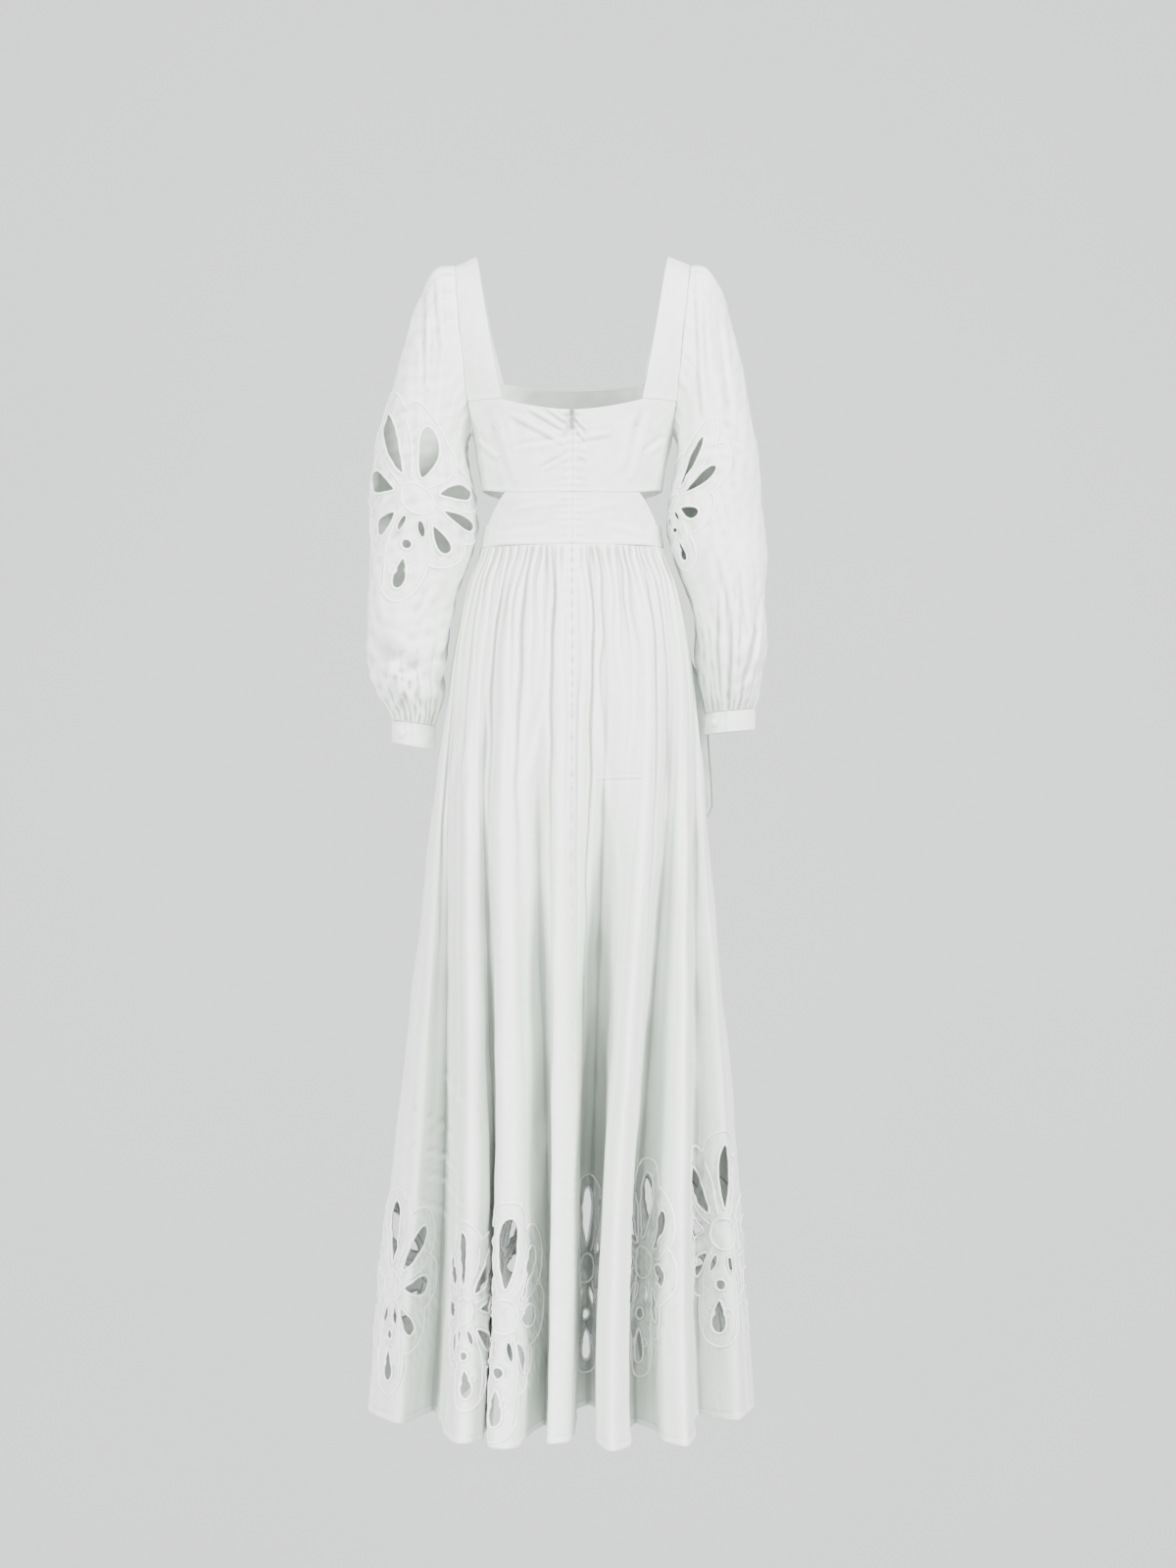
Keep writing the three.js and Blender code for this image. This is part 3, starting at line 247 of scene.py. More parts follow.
ARMHOLE_MIDDLE = {axis: (ARMHOLE["top_" + axis] + ARMHOLE["bottom_" + axis]) / 2 for axis in "xz"}
ARMHOLE_HALF = {axis: (ARMHOLE["top_" + axis] - ARMHOLE["bottom_" + axis]) / 2 for axis in "xz"}


def armhole_point(turn, hand):
    x, z = (ARMHOLE_MIDDLE[axis] + np.cos(turn) * ARMHOLE_HALF[axis] for axis in "xz")
    return points_of(hand * x, ARMHOLE["depth"] * np.sin(turn), z)


def armhole_turn(z, face):
    return face * np.arccos(np.clip((z - ARMHOLE_MIDDLE["z"]) / ARMHOLE_HALF["z"], -1, 1))


def bodice_point(share, z, face, hand):
    share, z = alike(share, z)
    edge = armhole_point(armhole_turn(z, face), hand)
    width = np.abs(edge[..., 0]) / read(BODY, "z", z, "side")
    edge_share = share_at_width(width, read(BODY, "z", z, "square"))
    pull = edge - body_point(edge_share, z, face, hand)
    above = body_point(share * edge_share, z, face, hand) + pull * (share ** 4)[..., None]
    return np.where((z <= ARMHOLE["bottom_z"])[..., None], body_point(share, z, face, hand), above)


def from_middle(u, face, hand):
    """A place across a panel, counted from the middle of the body to its side."""
    return 1 - u if hand * face > 0 else u


def neck_height(share, face):
    """The neck edge rises in a curve from the middle to the inner edge of the strap."""
    part = np.minimum(1, share / strap_foot(face)[0])
    return mix(NECK[face]["middle_z"], NECK[face]["corner_z"], part ** NECK_CURVE)


def band_bottom(share):
    return mix(BAND_BOTTOM_MIDDLE_Z, BAND_BOTTOM_SIDE_Z, smoothstep(share, *BAND_RISE))


def band_form(face, hand):
    def form(u, v):
        share = from_middle(u, face, hand)
        return bodice_point(share, mix(band_bottom(share), neck_height(share, face), v), face, hand)
    return form


def mirrored(form):
    """One panel right across the front from a form of its share and height."""
    def whole(u, v):
        signed = 2 * u - 1
        points = form(np.abs(signed), v)
        points[..., 0] *= np.where(signed < 0, RIGHT, LEFT)
        return points
    return whole


def strap_foot(face):
    neck = NECK[face]
    side = read(BODY, "z", neck["corner_z"], "side")
    square = read(BODY, "z", neck["corner_z"], "square")
    turn = armhole_turn(neck["corner_z"], face)
    whole = share_at_width(armhole_point(turn, LEFT)[0] / side, square)
    share = share_at_width(neck["corner"] / side, square) / whole
    return share, turn, neck["corner_z"], bodice_point(share, neck["corner_z"], face, LEFT)


STRAP_BACK = [(97, 84, -145), (105, 76, -100), (113, 57, -50), (119, 27, -14)]
STRAP_FRONT = [(119, -24, -12), (114, -50, -38), (108, -72, -75), (100, -84, -110)]
STRAP_EDGE = spaced(
    table("x y z", strap_foot(BACK)[3], *STRAP_BACK, STRAP_RIDGE, *STRAP_FRONT, strap_foot(FRONT)[3]), "xyz",
)
RIDGE_WAY = STRAP_EDGE["way"][len(STRAP_BACK) + 1]


def strap_form(face, hand):
    foot_share, foot_turn, foot_z, foot_point = strap_foot(face)
    outer_foot = armhole_point(foot_turn, LEFT)

    def form(u, v):
        across, v = alike(from_middle(u, face, hand), v)
        way = v * RIDGE_WAY if face == BACK else 1 - v * (1 - RIDGE_WAY)
        edge = points_of(*(read(STRAP_EDGE, "way", way, name) for name in "xyz"))
        point = mix(edge, armhole_point(foot_turn * (1 - v), LEFT), across[..., None])
        straight = mix(foot_point, outer_foot, across[..., None])
        seat = bodice_point(mix(foot_share, 1, across), foot_z, face, LEFT)
        point = point + (seat - straight) * (np.maximum(0, 1 - v) ** 2)[..., None]
        point[..., 0] *= hand
        return point
    return form


def midriff_top(share):
    def at(x, z):
        return share_at_width(x / read(BODY, "z", z, "side"), 2.3)
    upper = at(CUT_OUT["top_x"], BAND_BOTTOM_MIDDLE_Z)
    lower = at(CUT_OUT["lower_x"], CUT_OUT["lower_z"])
    down = np.clip((share - upper) / (lower - upper), 0, 1)
    return mix(band_bottom(share), CUT_OUT["lower_z"], down)


def midriff_form(face, hand):
    def form(u, v):
        share = from_middle(u, face, hand)
        return body_point(share, mix(WAIST_Z, midriff_top(share), v), face, hand)
    return form


def skirt_ring(quarter, z):
    """Quarters of the skirt: 0 left side, 1 back middle, 2 right side, 3 front middle."""
    turned = np.mod(quarter + 4, 4)
    leg = np.floor(turned)
    part = turned - leg
    turn = quarter_turn(np.where(leg % 2 == 0, 1 - part, part), SKIRT_SQUARE)
    hand = np.where((leg == 0) | (leg == 3), LEFT, RIGHT)
    x = hand * read(SKIRT, "z", z, "side") * np.maximum(0, np.sin(turn)) ** (2 / SKIRT_SQUARE)
    depth = np.where(leg < 2, read(SKIRT, "z", z, "back"), -read(SKIRT, "z", z, "front"))
    y = depth * np.maximum(0, np.cos(turn)) ** (2 / SKIRT_SQUARE)
    return x + read(SKIRT, "z", z, "lean"), y


HEM_PARTS = [HEM_BACK_LEFT, HEM_BACK_RIGHT, HEM_FRONT_RIGHT, HEM_FRONT_LEFT]
HEM_LINE = spaced(table("x y", *(row for part in HEM_PARTS for row in part[:-1]), HEM_BACK_LEFT[0]), "xy")
HEM_RUN = {
    name: np.concatenate([HEM_LINE[name][-3:-1] - wrap, HEM_LINE[name], HEM_LINE[name][1:3] + wrap])
    for name, wrap in (("x", 0), ("y", 0), ("way", 1))
}
HEM_STARTS = [HEM_LINE["way"][sum(len(rows) - 1 for rows in HEM_PARTS[:part])] for part in range(5)]


def skirt_form(panel):
    """A skirt panel from the gathered waist to its own stretch of the folded hem."""
    begin = HEM_STARTS[panel]
    long = HEM_STARTS[panel + 1] - begin

    def form(u, v):
        u, v = alike(u, v)
        z = mix(HEM_Z, WAIST_Z, v)
        x, y = skirt_ring(panel + u, z)
        low_x, low_y = skirt_ring(panel + u, HEM_Z)
        growth = 0.5 + 0.5 * np.cos(math.pi * np.clip(v, 0, 1))
        x = x + growth * (read(HEM_RUN, "way", begin + long * u, "x") - low_x)
        y = y + growth * (read(HEM_RUN, "way", begin + long * u, "y") - low_y)
        if panel > 1:
            opened = np.maximum(0, (SLIT["top_z"] - z) / (SLIT["top_z"] - HEM_Z)) ** 1.2
            near = np.clip(u if panel == 2 else 1 - u, 0, 1)
            x = x + (RIGHT if panel == 2 else LEFT) * SLIT["half"] * opened * near ** 3
        return points_of(x, y, z)
    return form


def sleeve_form(side, face):
    hand = LEFT if side == "left" else RIGHT
    columns = "out_x out_z in_x in_z depth y".split()
    line = spaced(table(" ".join(columns), *SLEEVE_ROWS[side]), columns[:4])

    def form(u, v):
        u, v = alike(u, v)
        s = 1 - v
        around = u if hand * face > 0 else 1 - u
        out_x, out_z, in_x, in_z, depth, y = (read(line, "way", s, name) for name in columns)
        turn = math.pi * around
        c, n = np.cos(turn), np.maximum(0, np.sin(turn))
        square = mix(2, SLEEVE_SQUARE, smoothstep(s, 0, 0.05) * smoothstep(v, 0, 0.04))
        across = np.sign(c) * np.abs(c) ** (2 / square)
        deep = n ** (2 / square)
        swell = np.zeros_like(u)
        if face == BACK:
            for along, at, long, wide, fold in SLEEVE_FOLDS[side]:
                swell = swell + fold * np.exp(-((s - along) / long) ** 2 - ((around - at) / wide) ** 2)
            swell = swell * smoothstep(n, 0, 0.4)
        x = (out_x + in_x) / 2 + (out_x - in_x) / 2 * across + 0.7 * swell * c
        z = (out_z + in_z) / 2 + (out_z - in_z) / 2 * across
        return points_of(hand * x, y + face * (depth * deep + swell * n), z)
    return form


def cuff_form(side):
    cuff = CUFFS[side]

    def form(u, v):
        turn = math.radians(cuff["edge"]) + 2 * math.pi * np.asarray(u, float)
        across = (1 + np.cos(turn) * np.sign(cuff["out"])) / 2
        top = mix(cuff["top_in"], cuff["top_out"], across)
        low = mix(cuff["low_in"], cuff["low_out"], across)
        x = (cuff["out"] + cuff["in"]) / 2 + abs(cuff["out"] - cuff["in"]) / 2 * np.cos(turn)
        return points_of(x, cuff["y"] + cuff["depth"] * np.sin(turn), mix(low, top, v))
    return form


def on_midriff(x, z):
    def depth(at):
        share = share_at_width(np.abs(at) / read(BODY, "z", z, "side"), read(BODY, "z", z, "square"))
        return body_point(share, z, FRONT, LEFT)[..., 1]
    return depth(x) - 1.95 * np.hypot(1, depth(x + 0.5) - depth(x - 0.5))


def sash_form(u, v):
    u, v = alike(u, v)
    low = SASH["z"][0] + 40 * (1 - np.sqrt(np.maximum(0, 1 - (2 * u - 1) ** 2)))
    z = mix(low, SASH["z"][-1], v)
    x = mix(read(SASH, "z", z, "out_x"), read(SASH, "z", z, "in_x"), u)
    wave = 4 * np.sin(3 * math.pi * u) * (1 - v)
    hung = mix(read(SASH, "z", z, "out_y"), read(SASH, "z", z, "in_y"), u)
    hung = hung - 4 * u * (1 - u) * read(SASH, "z", z, "bow") + wave
    sewn = smoothstep(z, -388, -373)
    return points_of(x, mix(hung, on_midriff(x, np.maximum(z, WAIST_Z)), sewn), z)


def outward(form, u, v, reach=(0.0, 1.0)):
    """Unit normals of a form, on the side away from the wearer."""
    step = 0.0015
    low, high = reach
    along = form(np.minimum(high, u + step), v) - form(np.maximum(low, u - step), v)
    up = form(u, np.minimum(1, v + step)) - form(u, np.maximum(0, v - step))
    return unit(np.cross(along, up))


# Relief of the cloth, in millimetres outward

def crumple(points, seed, height, size):
    """Soft uneven waves of the given height and size over a piece of cloth."""
    pick = random.Random(seed)
    relief = np.zeros(len(points))
    for _ in range(9):
        way = Vector((pick.gauss(0, 1), pick.gauss(0, 1), pick.gauss(0, 0.7))).normalized()
        pitch = size * pick.uniform(0.6, 1.7)
        relief += np.sin(points @ np.array(way) * (2 * math.pi / pitch) + pick.uniform(0, 6.3))
    return height * relief / 3


def creases(points, rows):
    """Creases given one by one: each runs between two places (x, z) with a width and a depth."""
    relief = np.zeros(len(points))
    flat = points[:, [0, 2]]
    for x1, z1, x2, z2, width, depth in rows:
        start = np.array((x1, z1), float)
        line = np.array((x2 - x1, z2 - z1), float)
        long = np.hypot(*line)
        along = (flat - start) @ line / long ** 2
        side = (flat - start) @ np.array((-line[1], line[0])) / long / width
        taper = np.sqrt(np.clip(4 * along * (1 - along), 0, 1))
        relief += depth * taper * (np.exp(-side ** 2) - 0.55 * np.exp(-(side - 1.9) ** 2))
    return relief


def gathers(around, way, rows, steep=2.2):
    """Uneven gathers: each row is its place, width, height and how far it runs from its seam.

    A gather's flank on the side its width points to is the steeper one.
    """
    relief = np.zeros(len(around))
    for at, width, height, reach in rows:
        side = (around - at) / (abs(width) * (1 + 0.5 * way / reach))
        flank = np.where(side * width > 0, steep, 1.0)
        swell = 1 + 0.3 * np.sin(way / (0.3 * reach) + 37 * at)
        relief += height * swell * np.exp(-(side * flank) ** 2) * np.exp(-(way / reach) ** 1.3)
    return relief


def seam_dip(distance, depth=0.7, width=1.6):
    """The cloth turns in where it meets a seam."""
    return -depth * np.exp(-(distance / width) ** 2)


def uneven_rows(seed, count, spread, heights, reaches, low=0.02, high=0.98):
    """Gathers between the listed ones, each with its own size."""
    pick = random.Random(seed)
    rows = []
    for i in range(count):
        at = low + (high - low) * (i + pick.uniform(0.15, 0.85)) / count
        width = spread * pick.uniform(0.7, 1.35) / count * pick.choice((1, -1))
        rows.append((at, width, pick.uniform(*heights), pick.uniform(*reaches)))
    return rows


# Cutwork

def tilted(flat, angle):
    """Points of flat cloth turned anticlockwise."""
    x, y = flat.T
    return np.stack([
        x * math.cos(angle) - y * math.sin(angle),
        x * math.sin(angle) + y * math.cos(angle),
    ], axis=1)


OUTLINE_POINTS = {"petal": 30, "round": 22, "slit": 18, "eyelet": 16}


def opening_outline(turn, start, end, width, shape):
    """An opening's outline in flat cloth, round the flower's middle."""
    angle = np.arange(OUTLINE_POINTS[shape]) * 2 * math.pi / OUTLINE_POINTS[shape]
    along = np.cos(angle)
    swell = 0.68 + 0.32 * along if shape == "petal" else 1.0
    x = width / 2 * np.sin(angle) * swell
    y = (start + end) / 2 + (end - start) / 2 * along
    return tilted(np.stack([x, y], axis=1), -math.radians(turn))


def placed(outline, flower, wide, high):
    """Flat points of a flower as (u, v) places on its panel."""
    across, up, size, tilt = flower
    x, y = size * tilted(outline, math.radians(tilt)).T
    return np.stack([across + x / wide, (up + y) / high], axis=1)


def flower_openings(name, wide, high):
    found = []
    for flower in FLOWERS.get(name, ()):
        for opening in FLOWER_OPENINGS:
            outline = placed(opening_outline(*opening), flower, wide, high)
            if outline[:, 0].min() > 0.02 and outline[:, 0].max() < 0.98:
                found.append((outline, opening[4]))
    return found


def arc(radius, turn=0.0, span=360.0, middle=(0.0, 0.0), count=40):
    angle = np.radians(turn + np.linspace(0, span, count, endpoint=span < 360))
    return np.stack([middle[0] + radius * np.sin(angle), middle[1] + radius * np.cos(angle)], axis=1)


def scallop_line():
    """The outer line of a flower, lobe after lobe."""
    points = []
    for i, (start, dip, lobe) in enumerate(SCALLOPS):
        end, next_dip, _ = SCALLOPS[(i + 1) % len(SCALLOPS)]
        end = end if end > start else end + 360
        for t in np.linspace(0, 1, 16, endpoint=False):
            radius = mix(dip, next_dip, t)
            radius += (lobe - (dip + next_dip) / 2) * math.sin(math.pi * t) ** 0.7
            angle = math.radians(mix(start, end, t))
            points.append((radius * math.sin(angle), radius * math.cos(angle)))
    return np.array(points)


def flower_lines():
    """Lines of cord of a flower besides its openings: the closed ones and the open ones."""
    closed = [arc(DISC_RADIUS), scallop_line(), arc(5.5, middle=(12, -104)), arc(5.5, middle=(-12, -108))]
    opened = []
    for turn in (-70, -24, 24, 70):
        bend = np.linspace(0, 1, 14)
        angle = np.radians(turn + 5 * np.sin(bend * math.pi))
        radius = mix(DISC_RADIUS + 4, 100, bend)
        opened.append(np.stack([radius * np.sin(angle), radius * np.cos(angle)], axis=1))
    for hand in (1, -1):
        bend = np.linspace(0, 1, 16)
        x = hand * mix(15, 22, bend) + hand * 10 * np.sin(math.pi * bend)
        opened.append(np.stack([x, mix(-18, -138, bend)], axis=1))
    return closed, opened


# Meshes

def new_object(name, vertices, faces, material, smooth=True):
    mesh = bpy.data.meshes.new(name)
    mesh.from_pydata([tuple(v) for v in np.asarray(vertices) * MM], [], faces)
    mesh.polygons.foreach_set("use_smooth", [smooth] * len(mesh.polygons))
    mesh.materials.append(material)
    mesh.update()
    obj = bpy.data.objects.new(name, mesh)
    bpy.context.collection.objects.link(obj)
    return obj


def mark_painted_shade(obj, values):
    """Keeps how hollow each vertex lies, for the shade that the material paints into its colour."""
    layer = obj.data.attributes.new("hollow", "FLOAT", "POINT")
    layer.data.foreach_set("value", np.asarray(values, np.float32))


def on_dress(obj, slot, *nodes):
    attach(obj, DRESS)
    if nodes:
        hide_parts(*nodes)
    return obj


def grid_faces(columns, rows):
    return [
        (j * columns + i, j * columns + i + 1, (j + 1) * columns + i + 1, (j + 1) * columns + i)
        for j in range(rows - 1) for i in range(columns - 1)
    ]


def shell(name, front, back, faces, material):
    """A thin closed sheet from its two sides, which share their faces."""
    count = len(front)
    edges = {}
    for face in faces:
        for a, b in zip(face, face[1:] + face[:1]):
            if (b, a) in edges:
                del edges[(b, a)]
            else:
                edges[(a, b)] = True
    rim = [(b, a, a + count, b + count) for a, b in edges]
    turned = [tuple(i + count for i in reversed(face)) for face in faces]
    return new_object(name, np.concatenate([front, back]), faces + turned + rim, material)


def cut_grid(us, vs, wide, high, outlines):
    """Points and faces of a flat panel whose openings are cut out of its lower or middle rows."""
    uu, vv = np.meshgrid(us, vs)
    points = np.stack([uu.ravel(), vv.ravel()], axis=1)
    columns = len(us)
    if not outlines:
        return points, grid_faces(columns, len(vs))
    lowest = min(outline[:, 1].min() for outline in outlines) - 10 / high
    highest = max(outline[:, 1].max() for outline in outlines) + 10 / high
    first = max(0, np.searchsorted(vs, lowest) - 1)
    last = min(len(vs) - 1, int(np.searchsorted(vs, highest)))
    faces = [
        face for face in grid_faces(columns, len(vs))
        if face[0] // columns < first or face[0] // columns >= last
    ]
    kept = np.arange(first * columns, (last + 1) * columns)
    scale = np.array((wide, high))
    flat = points[kept] * scale
    inside_row = (kept // columns > first) & (kept // columns < last)
    keep = np.ones(len(kept), bool)
    for outline in outlines:
        ring = outline * scale
        box = (flat > ring.min(0) - 3).all(1) & (flat < ring.max(0) + 3).all(1) & inside_row
        for i in np.nonzero(box)[0]:
            gap = ring - flat[i]
            if np.hypot(gap[:, 0], gap[:, 1]).min() < 2.2:
                keep[i] = False
    kept = kept[keep]
    flat = flat[keep]
    coords = [Vector(p) for p in flat]
    holes = []
    for outline in outlines:
        start = len(coords)
        coords += [Vector(p) for p in outline * scale]
        holes.append(list(reversed(range(start, start + len(outline)))))
    out_coords, _, out_faces, origins, _, in_holes = delaunay_2d_cdt(coords, [], holes, 0, 1e-5, True)
    index = np.empty(len(out_coords), int)
    extra = []
    for i, (place, origin) in enumerate(zip(out_coords, origins)):
        if origin and origin[0] < len(kept):
            index[i] = kept[origin[0]]
        else:
            index[i] = len(points) + len(extra)
            extra.append((place[0] / wide, place[1] / high))
    faces += [
        tuple(int(index[i]) for i in face)
        for face, hole in zip(out_faces, in_holes) if not hole
    ]
    points = np.concatenate([points, np.array(extra)])
    used = np.unique(np.concatenate([np.array(face) for face in faces]))
    new_index = np.full(len(points), -1)
    new_index[used] = np.arange(len(used))
    return points[used], [tuple(int(new_index[i]) for i in face) for face in faces]


class Panel:
    """One cut piece of cloth: its form, its flat size, its relief and its grid."""

    def __init__(self, name, form, wide, high, us, vs, relief, reach=(0.0, 1.0), thick=None):
        self.name, self.form, self.wide, self.high = name, form, wide, high
        self.us, self.vs, self.relief_of, self.reach = us, vs, relief, reach
        self.thick = thick or bpy.context.scene.dress_cloth.thickness / MM
        self.cuts = flower_openings(name, wide, high)

    def surface(self, places, lift=0.0):
        """Points and normals at (u, v) places, with the relief of the cloth."""
        u, v = places[:, 0], places[:, 1]
        base = self.form(u, v)
        normal = outward(self.form, u, v, self.reach)
        return base + normal * (self.relief_of(self, u, v, base) + lift)[:, None], normal

    def hollows(self, places, points, normal):
        """How hollow the cloth is at each place: 0.5 is flat, 1 a deep crease and 0 a ridge; it sets the
        painted shade of creases.
        """
        u, v = places.T
        low, high = self.reach
        nudge = 1e-3
        pace = np.linalg.norm(self.form(u + nudge, v) - self.form(u - nudge, v), axis=1)
        still = np.zeros(len(places))
        bend = np.zeros(len(places))
        for step, weight in ((2.4, 1.0), (6.0, 0.5)):
            across = np.minimum(step / np.maximum(pace, 1e-6) * 2 * nudge, 0.03)
            for du, dv in ((across, still), (still, step / self.high)):
                middle = -points
                for way in (-1, 1):
                    beside = np.stack([np.clip(u + way * du, low, high), np.clip(v + way * dv, 0, 1)], axis=1)
                    middle = middle + self.surface(beside)[0] / 2
                bend += weight * np.einsum("ij,ij->i", middle, normal) / step
        rim = np.minimum(np.minimum(u, 1 - u) * self.wide, np.minimum(v, 1 - v) * self.high)
        return 0.5 + 0.5 * np.clip(bend * 1.6, -1, 1) * smoothstep(rim, 0, 3)

    def build(self, material, slot="cotton", shaded=True):
        """The panel as a closed sheet on the dress, in place of its solid."""
        places, faces = cut_grid(self.us, self.vs, self.wide, self.high, [cut for cut, _ in self.cuts])
        points, normal = self.surface(places)
        half = normal * self.thick / 2
        obj = shell(self.name + "_cloth", points + half, points - half, faces, material)
        # Painted shade: creases are marked to be painted darker and ridges lighter, the inner side the other
        # way round
        if shaded:
            hollow = self.hollows(places, points, normal)
            mark_painted_shade(obj, np.concatenate([hollow, 1 - hollow]))
        return on_dress(obj, slot, self.name)


# A cord's sides, the gap between its rings along it, and how high its middle lies over the cloth's
CORD_SIDES = 8
CORD_GAP = 2.9
CORD_LIFT = 0.5
CORD_TURNS = np.arange(CORD_SIDES) * 2 * math.pi / CORD_SIDES


def tube_rings(points, normals, width, height, closed):
    """Rings of an oval cord that lies along points on cloth."""
    if closed:
        tangent = unit(np.roll(points, -1, 0) - np.roll(points, 1, 0))
    else:
        tangent = unit(np.gradient(points, axis=0))
    side = unit(np.cross(tangent, normals))
    lift = np.cross(side, tangent)
    size = np.ones(len(points))
    if not closed:
        size[[0, -1]] = 0.35
    ring = points[:, None, :]
    ring = ring + side[:, None, :] * (width / 2 * np.cos(CORD_TURNS))[None, :, None] * size[:, None, None]
    return ring + lift[:, None, :] * (height / 2 * np.sin(CORD_TURNS))[None, :, None] * size[:, None, None]


def tube_faces(start, rings, sides, closed=False):
    """Faces of a tube of rings of points, with its two ends where it is open."""
    faces = []
    for i in range(rings if closed else rings - 1):
        j = (i + 1) % rings
        for k in range(sides):
            m = (k + 1) % sides
            faces.append((start + i * sides + k, start + i * sides + m,
                          start + j * sides + m, start + j * sides + k))
    if not closed:
        last = start + (rings - 1) * sides
        faces += [tuple(reversed(range(start, start + sides))), tuple(range(last, last + sides))]
    return faces


class Cords:
    """Satin-stitched cords of one panel, gathered into one mesh."""

    def __init__(self, name):
        self.name, self.vertices, self.faces = name, [], []

    def add(self, points, normals, width, height, closed):
        rings = tube_rings(points, normals, width, height, closed)
        self.faces += tube_faces(CORD_SIDES * sum(map(len, self.vertices)), len(points), CORD_SIDES, closed)
        self.vertices.append(rings)

    def build(self, material):
        """The cords as one object of the dress; the side on the cloth is marked for painted shade."""
        vertices = np.concatenate(self.vertices)
        obj = new_object(self.name, vertices.reshape(-1, 3), self.faces, material)
        # Painted shade: the cord's flanks next to the cloth are painted dark, its top slightly lighter
        mark_painted_shade(obj, np.tile(np.sin(CORD_TURNS) < 0.3, len(vertices)))
        return on_dress(obj, "cotton")


def even(path, gap, closed):
    """Points of a flat line at even gaps."""
    if closed:
        path = np.concatenate([path, path[:1]])
    steps = np.hypot(*np.diff(path, axis=0).T)
    way = np.concatenate([[0], np.cumsum(steps)])
    count = max(4, int(round(way[-1] / gap)))
    at = np.linspace(0, way[-1], count + 1)
    line = np.stack([np.interp(at, way, path[:, k]) for k in (0, 1)], axis=1)
    return line[:-1] if closed else line


def runs_inside(places, low, high):
    """The stretches of a closed line that stay on its panel, and whether each is the whole line."""
    inside = (places[:, 0] > low) & (places[:, 0] < high)
    if inside.all():
        return [(places, True)]
    start = int(np.argmin(inside))
    places, inside = np.roll(places, -start, 0), np.roll(inside, -start)
    ends = np.nonzero(np.diff(inside))[0] + 1
    return [(run, False) for run, kept in zip(np.split(places, ends), np.split(inside, ends)) if kept[0]]


def flower_cords(panel, material, low=-0.02, high=1.02):
    """All cords of a panel's flowers: round each opening, the disc, the petals and the scalloped edge."""
    sizes = bpy.context.scene.dress_cords
    cords = Cords("satin_cords_" + panel.name)
    scale = np.array((panel.wide, panel.high))

    def lay(places, closed, thin, flat=None):
        line = even(places * scale, CORD_GAP, closed) / scale
        if not closed:
            line = line[(line[:, 0] > low) & (line[:, 0] < high)]
            stretches = [(line, False)] if len(line) > 3 else []
        else:
            stretches = runs_inside(line, low, high)
        for stretch, whole in stretches:
            if len(stretch) < 4:
                continue
            points, normals = panel.surface(stretch, CORD_LIFT)
            cords.add(points, normals, sizes.width / MM * thin, sizes.height / MM * (flat or thin),
                      whole and closed)

    for outline, shape in panel.cuts:
        lay(outline, True, 0.62 if shape in ("eyelet", "slit") else 1.0)
    closed_lines, open_lines = flower_lines()
    for flower in FLOWERS.get(panel.name, ()):
        for i, line in enumerate(closed_lines):
            lay(placed(line, flower, panel.wide, panel.high), True, 0.7 if i > 1 else 0.95)
        for line in open_lines:
            lay(placed(line, flower, panel.wide, panel.high), False, 0.75, 0.8)
    return cords.build(material)


def stitches(name, lines, material, long=2.2, gap=0.9, thick=0.42):
    """Rows of single machine stitches that lie on the cloth along lines of points and normals."""
    vertices, faces = [], []
    for points, normals in lines:
        steps = np.linalg.norm(np.diff(points, axis=0), axis=1)
        way = np.concatenate([[0], np.cumsum(steps)])
        for start in np.arange(gap, way[-1] - long, long + gap):
            first, middle, last = (
                np.array([np.interp(start + part * long, way, points[:, axis]) for axis in range(3)])
                for part in (0, 0.5, 1)
            )
            normal = unit(np.array([np.interp(start + long / 2, way, normals[:, axis]) for axis in range(3)]))
            side = unit(np.cross(last - first, normal)) * thick / 2
            base = len(vertices)
            vertices += [first, middle + side, middle + normal * thick * 0.6, middle - side,
                         middle - normal * thick * 0.3, last]
            faces += [(base + a, base + b, base + c) for a, b, c in (
                (0, 2, 1), (0, 3, 2), (0, 4, 3), (0, 1, 4), (5, 1, 2), (5, 2, 3), (5, 3, 4), (5, 4, 1))]
    return new_object(name, np.array(vertices), faces, material, smooth=False)


def along_panel(panel, start, end, count=120):
    """Points and normals on the outside of a panel along a straight line of (u, v) places."""
    t = np.linspace(0, 1, count)
    places = np.stack([mix(start[0], end[0], t), mix(start[1], end[1], t)], axis=1)
    return panel.surface(places, panel.thick / 2)


def spread(count, edges=()):
    """Even steps from 0 to 1 with extra ones close to the given edges."""
    return np.unique(np.round(np.concatenate([np.linspace(0, 1, count + 1), np.array(edges, float)]), 6))


def near_edges(wide, offsets=(0.8, 1.8, 3.4)):
    """Extra places close to both edges of a panel."""
    return [edge + (1 - 2 * edge) * offset / wide for edge in (0, 1) for offset in offsets]


# Materials

